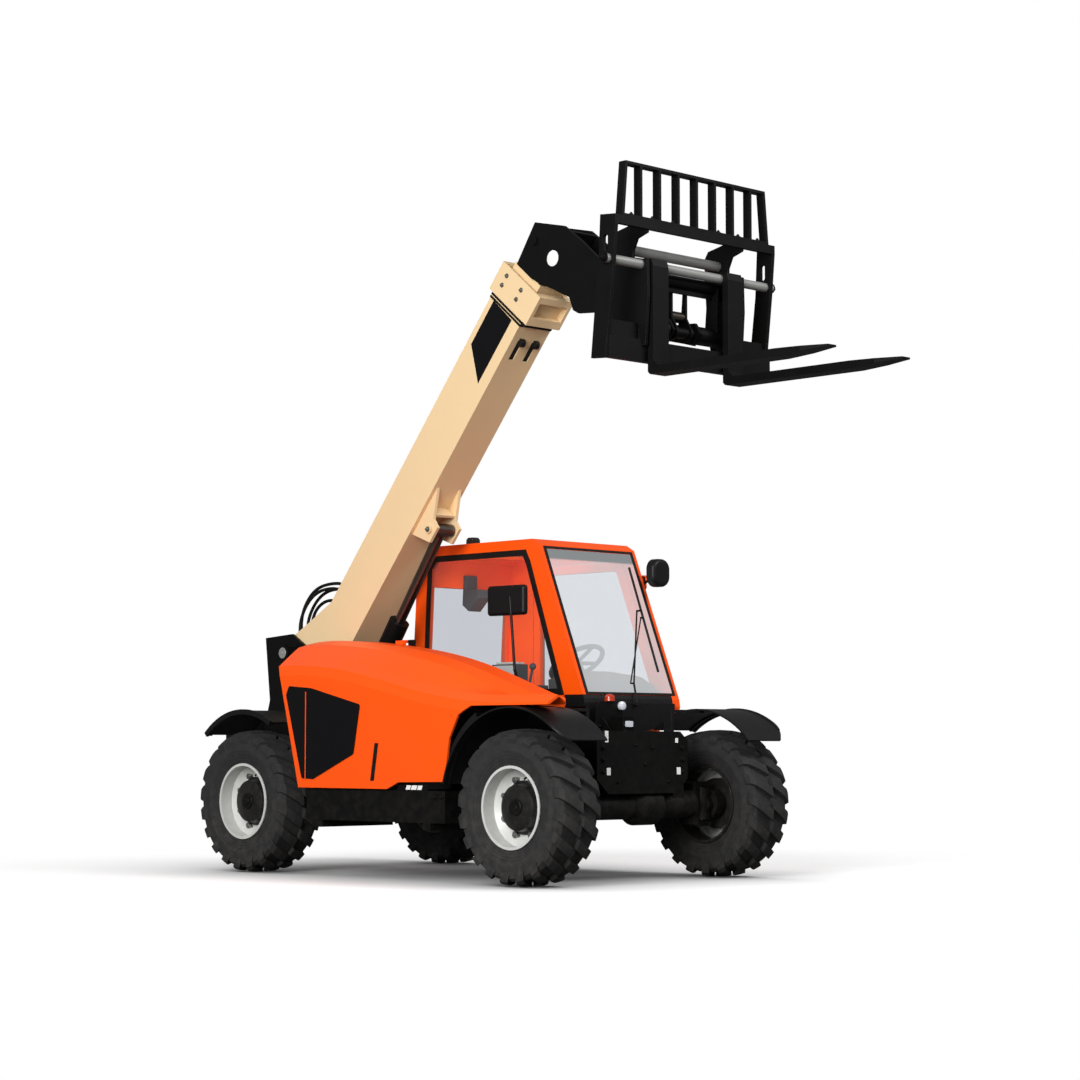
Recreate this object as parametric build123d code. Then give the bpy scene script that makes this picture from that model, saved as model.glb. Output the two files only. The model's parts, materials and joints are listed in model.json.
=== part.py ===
from build123d import *
import os
from math import atan2, cos, degrees, hypot, radians, sin

# Compact telehandler: four-wheel steer, two-section boom on the right of the cab, fork carriage.
# Millimetres. +X forward, +Y to the machine's left, +Z up, ground at z = 0.
# The source is laid out from the rear axle (x = 0); every piece is shifted by ORIGIN_X at export,
# so that the finished part stands centred over its origin.

# ---------------------------------------------------------------- clearances
SEAT = 0.3            # between pieces that rest on each other
RUN = 0.05            # radial running fit of pins and shafts
GAP = 6.0             # between bodies that move past each other

# ---------------------------------------------------------------- running gear
WHEELBASE = 2285.0
TRACK = 1510.0
KINGPIN_Y = 600.0     # kingpin distance from the machine's centre plane
TYRE_RADIUS = 415.5
TYRE_WIDTH = 305.0
TYRE_BORE = 214.0
LUG_COUNT = 20        # on each half of the tread
LUG_WIDTH = 50.0
LUG_ANGLE = 30.0
RIM_WALL = 7.0
RIM_HALF_WIDTH = 136.0
RIM_LIP = 222.0
HUB_RADIUS = 128.0
HUB_END = 96.0        # the hub's outer face, from the wheel's centre
SPINDLE_RADIUS = 60.0
AXLE_RADIUS = 78.0
DIFF_RADIUS = 112.0
DIFF_Y = 110.0
STEER_ARM = 165.0
STEER_LOCK = 35.0
FENDER_RADIUS = 524.0
FENDER_WALL = 10.0
FENDER_INNER = 560.0
FENDER_OUTER = 903.0
FENDER_CORNER = 110.0

# ---------------------------------------------------------------- chassis
REAR_X = -680.0
FRAME_WALL = 20.0
FRAME_TOP = 800.0
FRAME_BOTTOM = 360.0
ARCH_TOP = 560.0
ARCH_HALF = 240.0
FRONT_X = WHEELBASE + 115.0
SILL_X0 = 560.0
SILL_X1 = WHEELBASE - 545.0
SILL_Z0 = 320.0
SILL_Z1 = 496.0
HITCH_X = -640.0      # tow-pin coupling in the counterweight
HITCH_BORE = 16.0
HITCH_HALF = 80.0
HITCH_Z0 = 560.0
HITCH_Z1 = 650.0

# ---------------------------------------------------------------- boom
BOOM_Y = -177.0
BOOM_REST = 50.3      # boom angle as it stands
LIFT_DOWN = 45.0
LIFT_UP = 17.0
EXTEND = 2200.0
PIVOT_X = -325.0
PIVOT_Z = 1309.0
BOOM_WIDTH = 246.0
BOOM_TOP = -131.0     # boom's upper face, measured square to the boom from its pivot
BOOM_DEPTH = 309.0
BOOM_WALL = 8.0
BOOM_LENGTH = 2915.0
INNER_WIDTH = 196.0
INNER_DEPTH = 258.0
INNER_WALL = 8.0
INNER_START = 180.0
HEAD_WIDTH = 230.0
HEAD_WALL = 20.0
PIVOT_BOSS = 75.0
PIVOT_PIN = 40.0
TOWER_WALL = 20.0

# ---------------------------------------------------------------- lift and tilt cylinders
LIFT_BASE_X = -50.0
LIFT_BASE_Z = 590.0
LIFT_EYE_A = 1346.0   # rod eye along the boom, from the boom's pivot
LIFT_EYE_P = -540.0   # and square to it
LIFT_BARREL_RADIUS = 62.0
LIFT_BARREL_LENGTH = 1090.0
LIFT_ROD_RADIUS = 32.0
LIFT_ROD_LENGTH = 980.0
LIFT_EYE_RADIUS = 40.0
LIFT_EYE_WIDTH = 150.0
LIFT_SWING = 0.82
LIFT_STROKE = 0.70    # metres of rod for each radian of boom
FORK_PIVOT_A = BOOM_LENGTH + 376.0
FORK_PIVOT_P = -1395.0
TILT_BACK = 51.0
TILT_DUMP = 60.0
TILT_ANCHOR_A = BOOM_LENGTH + 225.0
TILT_ANCHOR_P = -970.0
TILT_LEVER = 96.0
TILT_LEVER_ANGLE = 110.0
TILT_BARREL_RADIUS = 33.0
TILT_BARREL_LENGTH = 264.0
TILT_BARREL_EYE = 36.0
TILT_ROD_RADIUS = 18.0
TILT_ROD_LENGTH = 260.0
TILT_ROD_EYE = 30.0
TILT_EYE_WIDTH = 96.0
TILT_SWING = 0.08
TILT_STROKE = 0.07    # metres of rod for each radian of carriage

# ---------------------------------------------------------------- carriage, from the fork pivot
END_PLATE_Y = 632.0   # outer face of each end plate, from the boom's centre
HOOK_PLATE_Y = 375.0  # middle of each hook plate
PLATE = 22.0
SHAFT_X = 80.0
SHAFT_Z = 312.0
SHAFT_RADIUS = 25.0
CROSS_TUBE = 50.0
UPPER_TUBE = 34.0
UPPER_TUBE_X = 15.0
UPPER_TUBE_Z = 268.0
WEB_Y = 250.0         # inner face of the webs between the two tubes
REAR_BAR = 28.0
REAR_BAR_X = -50.0
REAR_BAR_Z = 412.0
FORK_Y = 295.0        # middle of each fork, from the boom's centre
FORK_WIDTH = 118.0
FORK_THICK = 42.0
FORK_LENGTH = 1150.0
FORK_FACE = 142.0     # front face of the fork's shank
FORK_BOTTOM = -270.0
FORK_TRAVEL = 90.0
BAR_COUNT = 7
BAR_PITCH = 144.5
BAR_THICK = 14.0
BAR_DEPTH = 50.0
RAIL_Z0 = 492.0
RAIL_Z1 = 540.0
RAIL_FRONT = 135.0
REST_TOP = 832.0

# ---------------------------------------------------------------- cab
CAB_RIGHT = 60.0
CAB_LEFT = 850.0
CAB_WALL = 45.0
CAB_ROOF = 1935.0
CAB_FLOOR = 620.0
CAB_X0 = 560.0
CAB_X1 = WHEELBASE - 550.0
SCREEN_X = 1892.0      # foot of the raked windshield line
SCREEN_Z = 1009.0
SCREEN_RAKE = 22.06
SCREEN_LOW = 1035.0
SCREEN_POST = 36.0
COWL_TOP = 1030.0
NOSE_X = 1900.0
POST = 62.0
GLASS = 8.0
DOOR_THICK = 36.0
DOOR_REAR = 700.0
DOOR_OPEN = 85.0
DOOR_HINGES = (860.0, 1600.0)

# ---------------------------------------------------------------- hood
HOOD_INNER = -385.0
HOOD_SIDE = -885.0
HOOD_WALL = 14.0
HOOD_HINGE_Z = 1345.0
HOOD_OPEN = 55.0
HOOD_HINGES = (360.0, 860.0)

# ---------------------------------------------------------------- hoses on the boom's root
HOSE_RADIUS = 10.0

# ---------------------------------------------------------------- worked out
FRAME_HALF = BOOM_WIDTH / 2 - BOOM_Y + GAP + TOWER_WALL + SEAT + FRAME_WALL
HALF = TYRE_WIDTH / 2
REST = radians(BOOM_REST)


def on_boom(a, p):
    """Machine x and z of a point given along and square to the boom."""
    return PIVOT_X + a * cos(REST) - p * sin(REST), PIVOT_Z + a * sin(REST) + p * cos(REST)


FORK_PIVOT_X, FORK_PIVOT_Z = on_boom(FORK_PIVOT_A, FORK_PIVOT_P)
LIFT_EYE_X, LIFT_EYE_Z = on_boom(LIFT_EYE_A, LIFT_EYE_P)
TILT_ANCHOR_X, TILT_ANCHOR_Z = on_boom(TILT_ANCHOR_A, TILT_ANCHOR_P)
TILT_EYE_X = FORK_PIVOT_X + TILT_LEVER * cos(radians(TILT_LEVER_ANGLE))
TILT_EYE_Z = FORK_PIVOT_Z + TILT_LEVER * sin(radians(TILT_LEVER_ANGLE))
LIFT_ANGLE = degrees(atan2(LIFT_EYE_Z - LIFT_BASE_Z, LIFT_EYE_X - LIFT_BASE_X))
LIFT_REACH = hypot(LIFT_EYE_X - LIFT_BASE_X, LIFT_EYE_Z - LIFT_BASE_Z)
TILT_ANGLE = degrees(atan2(TILT_EYE_Z - TILT_ANCHOR_Z, TILT_EYE_X - TILT_ANCHOR_X))
TILT_REACH = hypot(TILT_EYE_X - TILT_ANCHOR_X, TILT_EYE_Z - TILT_ANCHOR_Z)
FORK_TIP_X = FORK_PIVOT_X + FORK_FACE + FORK_LENGTH
ORIGIN_X = (REAR_X + FORK_TIP_X) / 2
BOOM_BOTTOM = BOOM_TOP - BOOM_DEPTH
INNER_TOP = BOOM_TOP - (BOOM_DEPTH - INNER_DEPTH) / 2

BOOM_POSE = Pos(PIVOT_X, BOOM_Y, PIVOT_Z) * Rot(0, -BOOM_REST, 0)
CARRIAGE_POSE = Pos(FORK_PIVOT_X, BOOM_Y, FORK_PIVOT_Z)
LIFT_POSE = Pos(LIFT_BASE_X, BOOM_Y, LIFT_BASE_Z) * Rot(0, -LIFT_ANGLE, 0)
TILT_POSE = Pos(TILT_ANCHOR_X, BOOM_Y, TILT_ANCHOR_Z) * Rot(0, -TILT_ANGLE, 0)
WHEEL_POSE = Pos(1440, (CAB_RIGHT + CAB_LEFT) / 2, 1225) * Rot(0, -35, 0)
COLUMN = 260.0

UPRIGHT = (Align.CENTER, Align.CENTER, Align.MIN)

# corner, axle x, side (+1 left, -1 right)
CORNERS = (
    ("front_right", WHEELBASE, -1),
    ("front_left", WHEELBASE, 1),
    ("rear_right", 0.0, -1),
    ("rear_left", 0.0, 1),
)


# ---------------------------------------------------------------- drawing helpers
def box(x, y, z):
    """A block between the two values of each pair."""
    size = (x[1] - x[0], y[1] - y[0], z[1] - z[0])
    return Pos(x[0], y[0], z[0]) * Box(*size, align=(Align.MIN,) * 3)


def plate_xz(points, y0, y1):
    """A plate with an x-z outline, between two y planes."""
    outline = make_face(Polyline(*[(x, y0, z) for x, z in points], close=True))
    return extrude(outline, amount=y1 - y0, dir=(0, 1, 0))


def plate_xy(points, z0, z1):
    """A plate with an x-y outline, between two z planes."""
    outline = make_face(Polyline(*[(x, y, z0) for x, y in points], close=True))
    return extrude(outline, amount=z1 - z0, dir=(0, 0, 1))


def plate_yz(points, x0, x1):
    """A plate with a y-z outline, between two x planes."""
    outline = make_face(Polyline(*[(x0, y, z) for y, z in points], close=True))
    return extrude(outline, amount=x1 - x0, dir=(1, 0, 0))


def pin(x, z, y0, y1, radius, bore=0.0):
    """A round bar across the machine, or a tube where bore is given."""
    seat = Plane(origin=(x, y0, z), x_dir=(1, 0, 0), z_dir=(0, 1, 0))
    profile = seat * Circle(radius)
    if bore:
        profile = profile - seat * Circle(bore)
    return extrude(profile, amount=y1 - y0)


def rod(start, end, radius):
    """A round bar from one point to another."""
    run = Vector(*end) - Vector(*start)
    return extrude(Plane(origin=start, z_dir=run) * Circle(radius), amount=run.length)


def arc_plate(points, y0, y1):
    """A plate in x-z whose sides are arcs: (start, middle, end) triples joined in a ring."""
    edges = []
    for start, middle, end in points:
        if middle is None:
            edges.append(Line((start[0], y0, start[1]), (end[0], y0, end[1])))
        else:
            edges.append(ThreePointArc(*[(x, y0, z) for x, z in (start, middle, end)]))
    return extrude(make_face(Wire(edges)), amount=y1 - y0, dir=(0, 1, 0))


def rounded_plate(points, y0, y1, radius):
    """A plate with an x-z outline whose corners are rounded."""
    outline = make_face(Polyline(*[(x, y0, z) for x, z in points], close=True))
    outline = fillet(outline.vertices(), radius)
    return extrude(outline, amount=y1 - y0, dir=(0, 1, 0))


def turned(profile):
    """A full turn about the Y axis of (radius, y) points."""
    face = make_face(Polyline(*[(r, y, 0) for r, y in profile], close=True))
    return revolve(face, Axis.Y)


def wheel_place(x, side):
    """The wheel's centre, with its own +Y pointing outwards."""
    turn = 0 if side > 0 else 180
    return Pos(x, side * TRACK / 2, TYRE_RADIUS) * Rot(0, 0, turn)


def mirrored(shape):
    """The shape and its twin across the machine's centre plane."""
    return shape + mirror(shape, Plane.XZ)


# ---------------------------------------------------------------- wheels
def make_tyre():
    # columns: drop below the tyre's radius, inset from its side
    carcass = ((25, HALF), (29, 34), (46, 9), (115, 4), (183, 24), (TYRE_RADIUS - TYRE_BORE, 30))
    right = [(TYRE_RADIUS - drop, HALF - inset) for drop, inset in carcass]
    body = turned(right + [(r, -y) for r, y in reversed(right) if y])
    band = ((28, 148), (0, 148), (2, 82), (10, 27), (26, 3), (54, 0), (78, 7), (78, 22), (42, 50))
    ring = turned([(TYRE_RADIUS - drop, HALF - inset) for drop, inset in band])
    bar = box((TYRE_RADIUS - 120, TYRE_RADIUS + 20), (-30, 250), (-LUG_WIDTH / 2, LUG_WIDTH / 2))
    lug = ring & (Rot(-LUG_ANGLE, 0, 0) * bar)
    pitch = 360 / LUG_COUNT
    left = [Rot(0, i * pitch, 0) * lug for i in range(LUG_COUNT)]
    other = [Rot(0, (i + 0.5) * pitch, 0) * Rot(180, 0, 0) * lug for i in range(LUG_COUNT)]
    return body.fuse(*left, *other)


def make_rim():
    seat = TYRE_BORE - SEAT
    wall = seat - RIM_WALL
    barrel = turned(
        [
            (wall, -RIM_HALF_WIDTH), (RIM_LIP, -RIM_HALF_WIDTH), (RIM_LIP, -RIM_HALF_WIDTH + 7),
            (seat, -RIM_HALF_WIDTH + 13), (seat, RIM_HALF_WIDTH - 13), (RIM_LIP, RIM_HALF_WIDTH - 7),
            (RIM_LIP, RIM_HALF_WIDTH), (wall, RIM_HALF_WIDTH), (wall, 56), (160, 30), (HUB_RADIUS, 30),
            (HUB_RADIUS, 18), (165, 18), (wall, 42),
        ]
    )
    hub = turned(
        [
            (SPINDLE_RADIUS + RUN, -28), (HUB_RADIUS + 14, -28), (HUB_RADIUS + 14, 40),
            (HUB_RADIUS, 46), (HUB_RADIUS - 6, 84), (HUB_RADIUS - 22, HUB_END - 8), (60, HUB_END),
            (0, HUB_END), (0, 62), (SPINDLE_RADIUS + RUN, 62),
        ]
    )
    return barrel + hub


def make_knuckle():
    """Swivel at the origin, spindle along +Y, steering arm towards -X."""
    offset = TRACK / 2 - KINGPIN_Y
    boss = Pos(0, 0, -91) * Cylinder(52, 182, align=UPRIGHT)
    spindle = pin(0, 0, 0, offset + 60, SPINDLE_RADIUS)
    flange = pin(0, 0, 42, 42 + 70, 86)
    tip = -STEER_ARM
    arm = plate_xy(((-20, 44), (-20, -14), (-45, -14), (tip + 15, -40), (tip - 24, -32), (tip - 24, -2),
                    (tip + 45, 34)), -48, -16)
    return boss + spindle + flange + arm


def axle_beam(x, inward):
    """Housing, differential, yokes and steering cylinder; inward points to the machine's middle."""
    z = TYRE_RADIUS
    web = KINGPIN_Y - 60
    beam = pin(x, z, -web + 45, web - 45, AXLE_RADIUS)
    diff = Pos(x, DIFF_Y, z) * Rot(90, 0, 0) * turned_z(
        ((0, -120), (DIFF_RADIUS - 30, -120), (DIFF_RADIUS, -70), (DIFF_RADIUS, 70),
         (DIFF_RADIUS - 30, 120), (0, 120)))
    ear = 125
    outline = (
        (web - 50, -ear + 10), (web - 20, -ear), (KINGPIN_Y + 46, -ear), (KINGPIN_Y + 46, -ear + 30),
        (web, -ear + 30), (web, ear - 30), (KINGPIN_Y + 46, ear - 30), (KINGPIN_Y + 46, ear),
        (web - 20, ear), (web - 50, ear - 10),
    )
    yoke = plate_yz([(y, z + h) for y, h in outline], x - 40, x + 40)
    cylinder = pin(x + inward * STEER_ARM, z, -190, 190, 36, 16 + RUN)
    lugs = [box(sorted_pair(x, x + inward * (STEER_ARM - 25)), (s - 15, s + 15), (z - 30, z + 30))
            for s in (-150, 150)]
    pads = [box((x - 70, x + 70), (s - 45, s + 45), (z, ARCH_TOP - SEAT)) for s in
            (-FRAME_HALF + FRAME_WALL / 2, FRAME_HALF - FRAME_WALL / 2)]
    return beam + diff + mirrored(yoke) + cylinder + lugs + pads


def turned_z(profile):
    face = make_face(Polyline(*[(r, 0, h) for r, h in profile], close=True))
    return revolve(face, Axis.Z)


def sorted_pair(a, b):
    return (min(a, b), max(a, b))


def steering_rod(x, inward):
    z = TYRE_RADIUS
    xs = x + inward * STEER_ARM
    end = KINGPIN_Y - 30
    bar = pin(xs, z, -end, end, 16)
    eye = Pos(xs, end, z - 13) * Cylinder(19, 26, align=UPRIGHT)
    return bar + mirrored(eye)


def tip_corner(x):
    """What is cut off a guard's outer front corner, seen from above."""
    r = FENDER_CORNER
    y = FENDER_OUTER
    block = box((x - r, x + r), (y - r, y + r), (TYRE_RADIUS, TYRE_RADIUS + 600))
    return block - Pos(x - r, y - r, TYRE_RADIUS - 1) * Cylinder(r, 602, align=UPRIGHT)


def fender(x, side, start, end, lip=0.0, corner=False):
    """Curved guard over a wheel, between two angles from straight ahead; lip turns its rim down."""
    def at(radius, angle):
        return x + radius * cos(radians(angle)), TYRE_RADIUS + radius * sin(radians(angle))

    def band(inner, outer, y0, y1):
        mid = (start + end) / 2
        ring = ((at(outer, start), at(outer, mid), at(outer, end)), (at(outer, end), None, at(inner, end)),
                (at(inner, end), at(inner, mid), at(inner, start)), (at(inner, start), None, at(outer, start)))
        return arc_plate(ring, y0, y1)

    guard = band(FENDER_RADIUS, FENDER_RADIUS + FENDER_WALL, FENDER_INNER, FENDER_OUTER)
    if lip:
        guard = guard + band(FENDER_RADIUS - 14, FENDER_RADIUS + lip, FENDER_OUTER - 16, FENDER_OUTER)
        guard = guard + band(FENDER_RADIUS - 8, FENDER_RADIUS + 1, FENDER_OUTER - 46, FENDER_OUTER - 15)
    if corner:
        guard = guard - tip_corner(at(FENDER_RADIUS + FENDER_WALL, start)[0])
    crest = TYRE_RADIUS + FENDER_RADIUS
    post = box((x - 30, x + 30), (FRAME_HALF - FRAME_WALL, FRAME_HALF), (FRAME_TOP + SEAT, crest))
    arm = box((x - 30, x + 30), (FRAME_HALF - FRAME_WALL, FENDER_INNER + 40), (crest - 14, crest + 3))
    guard = guard + post + arm
    return guard if side > 0 else mirror(guard, Plane.XZ)


def arch_liner():
    """Black edge of the right front wheel arch, behind the rim of the hood."""
    def at(radius, angle):
        return WHEELBASE + radius * cos(radians(angle)), TYRE_RADIUS + radius * sin(radians(angle))

    low, high = FENDER_RADIUS - 1, FENDER_RADIUS + 62
    ring = ((at(high, 121), at(high, 140), at(high, 167)), (at(high, 167), None, at(low, 167)),
            (at(low, 167), at(low, 140), at(low, 121)), (at(low, 121), None, at(high, 121)))
    y1 = HOOD_SIDE + HOOD_WALL + 8
    liner = arc_plate(ring, y1, y1 + 12)
    skirt = ((at(high, 121), at(high, 140), at(high, 167)), (at(high, 167), None, at(high - 8, 167)),
             (at(high - 8, 167), at(high - 8, 140), at(high - 8, 121)), (at(high - 8, 121), None, at(high, 121)))
    return liner + arc_plate(skirt, y1 + 11, y1 + 120)


def make_fenders():
    right = fender(WHEELBASE, -1, 42, 167, corner=True)
    front = fender(WHEELBASE, 1, 42, 128, 16.0, corner=True) + right + arch_liner()
    return front + fender(0.0, 1, 60, 132, 16.0) + fender(0.0, -1, 60, 132, 16.0)


# ---------------------------------------------------------------- chassis
def make_frame():
    outline = (
        (REAR_X + 90, ARCH_TOP), (-ARCH_HALF, ARCH_TOP), (ARCH_HALF, ARCH_TOP),
        (ARCH_HALF + 160, FRAME_BOTTOM), (WHEELBASE - ARCH_HALF - 160, FRAME_BOTTOM),
        (WHEELBASE - ARCH_HALF, ARCH_TOP), (FRONT_X - 15, ARCH_TOP), (FRONT_X - 15, FRAME_TOP),
        (REAR_X + 90, FRAME_TOP),
    )
    right = plate_xz(outline, -FRAME_HALF, -FRAME_HALF + FRAME_WALL)
    under_cab = box((CAB_X0 - 10, CAB_X1 + 10), (0, FRAME_HALF + 1), (CAB_FLOOR - SEAT, FRAME_TOP + 1))
    left = plate_xz(outline, FRAME_HALF - FRAME_WALL, FRAME_HALF) - under_cab
    inside = (-FRAME_HALF + FRAME_WALL, FRAME_HALF - FRAME_WALL)
    belly = box((ARCH_HALF + 160, WHEELBASE - ARCH_HALF - 160), inside, (FRAME_BOTTOM, FRAME_BOTTOM + 20))
    rear = box((REAR_X + 90, REAR_X + 115), inside, (ARCH_TOP, FRAME_TOP))
    beam_mid = box((1250, 1350), inside, (FRAME_BOTTOM, 520))
    beam_front = box((1850, 2050), inside, (ARCH_TOP + 40, FRAME_TOP))
    arms = [box((x, x + 60), (-860, -FRAME_HALF + FRAME_WALL), (SILL_Z0 - 40, SILL_Z0 - SEAT))
            for x in (640, 1560)]
    hangers = [box((x, x + 60), (-FRAME_HALF, -FRAME_HALF + FRAME_WALL), (SILL_Z0 - 40, FRAME_BOTTOM + 40))
               for x in (640, 1560)]
    tower_floor = box((-560, -120), (BOOM_Y - 160, BOOM_Y + 160), (ARCH_TOP - 20, ARCH_TOP))
    return right + left + belly + rear + beam_mid + beam_front + arms + hangers + tower_floor


def make_front_panel():
    """Thick front plate that closes the frame, with chamfered lower corners."""
    top = FRAME_TOP + 20
    return plate_yz(
        ((-270, 480), (270, 480), (360, 560), (360, 770), (300, top), (-300, top),
         (-360, 770), (-360, 560)), FRONT_X - 15 + SEAT, FRONT_X + 5)


def make_front_deck():
    """Deck plate on the frame, and the lamp bracket that stands on it."""
    top = FRAME_TOP + SEAT + 12
    deck = box((SCREEN_X + 40, FRONT_X - 15), (-FRAME_HALF + 26, FRAME_HALF - 26), (FRAME_TOP + SEAT, top))
    bracket = plate_yz(((70, top - 1), (300, top - 1), (285, 960), (255, 992), (110, 992), (80, 960)),
                       1960, 1972)
    foot = plate_xz(((1971, top - 1), (2060, top - 1), (1971, 900)), 120, 132)
    body = box((2010, 2110), (150, 235), (top - 1, 905))
    return deck + bracket + foot + body


def make_front_lamps():
    marker = Pos(1966, 190, 992 + SEAT) * turned_z(((0, 0), (30, 0), (28, 26), (16, 38), (0, 40)))
    return marker


def make_tower():
    outline = (
        (-560, ARCH_TOP + SEAT), (-545, 760), (-464, 1020), (-510, 1407), (-253, 1424),
        (-59, 1308), (30, 980), (60, 700), (60, ARCH_TOP + SEAT),
    )
    inner = BOOM_WIDTH / 2 + GAP
    plates = [plate_xz(outline, BOOM_Y + inner, BOOM_Y + inner + TOWER_WALL),
              plate_xz(outline, BOOM_Y - inner - TOWER_WALL, BOOM_Y - inner)]
    back = box((-545, -505), (BOOM_Y - inner, BOOM_Y + inner), (ARCH_TOP + SEAT, 760))
    base = LIFT_EYE_WIDTH / 2 + 2
    ears = [box((LIFT_BASE_X - 55, LIFT_BASE_X + 55), pair, (ARCH_TOP + SEAT, LIFT_BASE_Z + 45))
            for pair in ((BOOM_Y - inner, BOOM_Y - base), (BOOM_Y + base, BOOM_Y + inner))]
    main_pin = pin(PIVOT_X, PIVOT_Z, BOOM_Y - inner - TOWER_WALL - 12,
                   BOOM_Y + inner + TOWER_WALL + 12, PIVOT_PIN)
    base_pin = pin(LIFT_BASE_X, LIFT_BASE_Z, BOOM_Y - inner, BOOM_Y + inner, 25)
    faces = (BOOM_Y - inner - TOWER_WALL - 14, BOOM_Y + inner + TOWER_WALL)
    heads = [pin(PIVOT_X, PIVOT_Z, y, y + 14, PIVOT_PIN + 14) for y in faces]
    keeper = box((PIVOT_X + 70, PIVOT_X + 130), (faces[0] + 2, faces[0] + 14), (PIVOT_Z + 20, PIVOT_Z + 50))
    rib = box((-546, -470), (BOOM_Y - inner - TOWER_WALL - 30, BOOM_Y - inner - TOWER_WALL), (900, 1400))
    rib = rib & plate_xz(((-546, 900), (-486, 1000), (-500, 1400), (-546, 1400)), BOOM_Y - 300, BOOM_Y)
    tower = plates[0] + plates[1] + back + ears
    return tower + main_pin + base_pin + heads + keeper


def make_counterweight():
    outline = ((REAR_X + 90 - SEAT, -520), (REAR_X + 30, -520), (REAR_X, -440), (REAR_X, 440),
               (REAR_X + 30, 520), (REAR_X + 90 - SEAT, 520))
    weight = plate_xy(outline, 470, 940)
    notch = box((REAR_X - 1, HITCH_X + 45), (-HITCH_HALF, HITCH_HALF), (HITCH_Z0, HITCH_Z1))
    bore = Pos(HITCH_X, 0, 469) * Cylinder(HITCH_BORE, HITCH_Z1 + 70 - 469, align=UPRIGHT)
    return weight - notch - bore


def make_sill():
    tray = box((SILL_X0, SILL_X1), (HOOD_SIDE + 25, -FRAME_HALF - SEAT), (SILL_Z0, SILL_Z1))
    pocket = box((SILL_X0 + 12, SILL_X1 - 12), (HOOD_SIDE + 37, HOOD_INNER - 2), (SILL_Z0 + 12, SILL_Z1 + 1))
    rails = [box((x, x + 60), (HOOD_SIDE + 26, HOOD_INNER - 1), (SILL_Z1 - 60, SILL_Z1)) for x in (700, 1280)]
    return (tray - pocket) + rails


def make_engine():
    return box((690, 1350), (-790, -460), (SILL_Z1 + SEAT, 850))


def make_hood_wall():
    """Fixed wall between the engine bay and the boom's channel."""
    y0, y1 = HOOD_INNER + 4, HOOD_INNER + 18
    outline = ((SILL_X0, SILL_Z1), (SILL_X1, SILL_Z1), (SILL_X1, 930), (2150, 960), (2100, 1010), (1700, 1130),
               (1150, 1270), (950, 1300), (200, 1306), (200, 980), (SILL_X0, 900))
    wall = plate_xz(outline, y0, y1)
    for x in HOOD_HINGES:
        near, far = x + 30 + SEAT, x + 80
        leaf = box((near, far), (y0, y1), (1290, HOOD_HINGE_Z))
        wall = wall + leaf + rod((near, (y0 + y1) / 2, HOOD_HINGE_Z), (far, (y0 + y1) / 2, HOOD_HINGE_Z), 9)
    return wall


def hood_section(x, crown, shoulder, inset):
    """Skin of the hood at one station: flat crown, sloping shoulder, upright side, to its foot."""
    inner, side = HOOD_INNER, HOOD_SIDE + inset
    top, edge = crown - inset, shoulder - inset * 0.8
    points = ((inner, 400), (inner, top), (inner - 165, top), (inner - 270, top - 28),
              (side + 90, edge + 46), (side + 22, edge + 6), (side, edge - 50), (side, 400))
    return make_face(Polyline(*[(x, y, z) for y, z in points], close=True))


# columns: station, crown height, shoulder height
HOOD_RULED = False
HOOD_STATIONS = (
    (150, 1336, 1190), (760, 1336, 1178), (1180, 1282, 1106), (WHEELBASE - 585, 1160, 1004),
    (WHEELBASE - 185, 1026, 968), (WHEELBASE + 275, 968, 962),
)


def make_hood():
    outer = loft([hood_section(*row, 0) for row in HOOD_STATIONS], ruled=HOOD_RULED)
    inner = loft([hood_section(x, c, s, HOOD_WALL) for x, c, s in HOOD_STATIONS], ruled=HOOD_RULED)
    axle = WHEELBASE
    profile = ((170, 1400), (335, 1146), (512, SILL_Z1 + GAP), (1290, SILL_Z1 + GAP), (1384, 540),
               (axle - 523, 546), (axle - 485, 780), (axle - 415, 905), (axle - 325, 956), (axle + 255, 956),
               (axle + 285, 1400))
    side_view = plate_xz(profile, HOOD_SIDE - 10, HOOD_INNER + 1)
    slot = rounded_plate(((1156, 552), (1174, 552), (1208, 750), (1190, 750)), HOOD_SIDE - 5, HOOD_SIDE + 40, 7)
    corner = plate_xy(((axle - 95, HOOD_INNER + 1), (axle + 305, HOOD_INNER - 399), (axle + 405, HOOD_INNER - 399),
                       (axle + 405, HOOD_INNER + 1)), 900, 1100)
    lid = ((outer - inner) & side_view) - slot - corner
    axis_y = HOOD_INNER + 11
    for x in HOOD_HINGES:
        barrel = rod((x - 30, axis_y, HOOD_HINGE_Z), (x + 30, axis_y, HOOD_HINGE_Z), 9)
        leaf = box((x - 30, x + 30), (HOOD_INNER - 40, axis_y), (HOOD_HINGE_Z - 4, HOOD_HINGE_Z + 4))
        foot = box((x - 30, x + 30), (HOOD_INNER - 40, HOOD_INNER - 10), (1324, HOOD_HINGE_Z))
        lid = lid + barrel + leaf + foot
    return lid


def make_side_panel():
    outline = ((425, 1085), (626, 1070), (1059, 972), (1004, 694), (650, 551), (546, 555), (399, 1035))
    line = box((576, 584), (HOOD_SIDE - 5, HOOD_SIDE - 2), (500, 1100))
    return rounded_plate(outline, HOOD_SIDE - 4 - SEAT, HOOD_SIDE - SEAT, 16) - line


# ---------------------------------------------------------------- cab
def screen_x(z):
    """Front face of the raked windshield frame at a height."""
    return SCREEN_X - (z - SCREEN_Z) * sin(radians(SCREEN_RAKE)) / cos(radians(SCREEN_RAKE))


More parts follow.
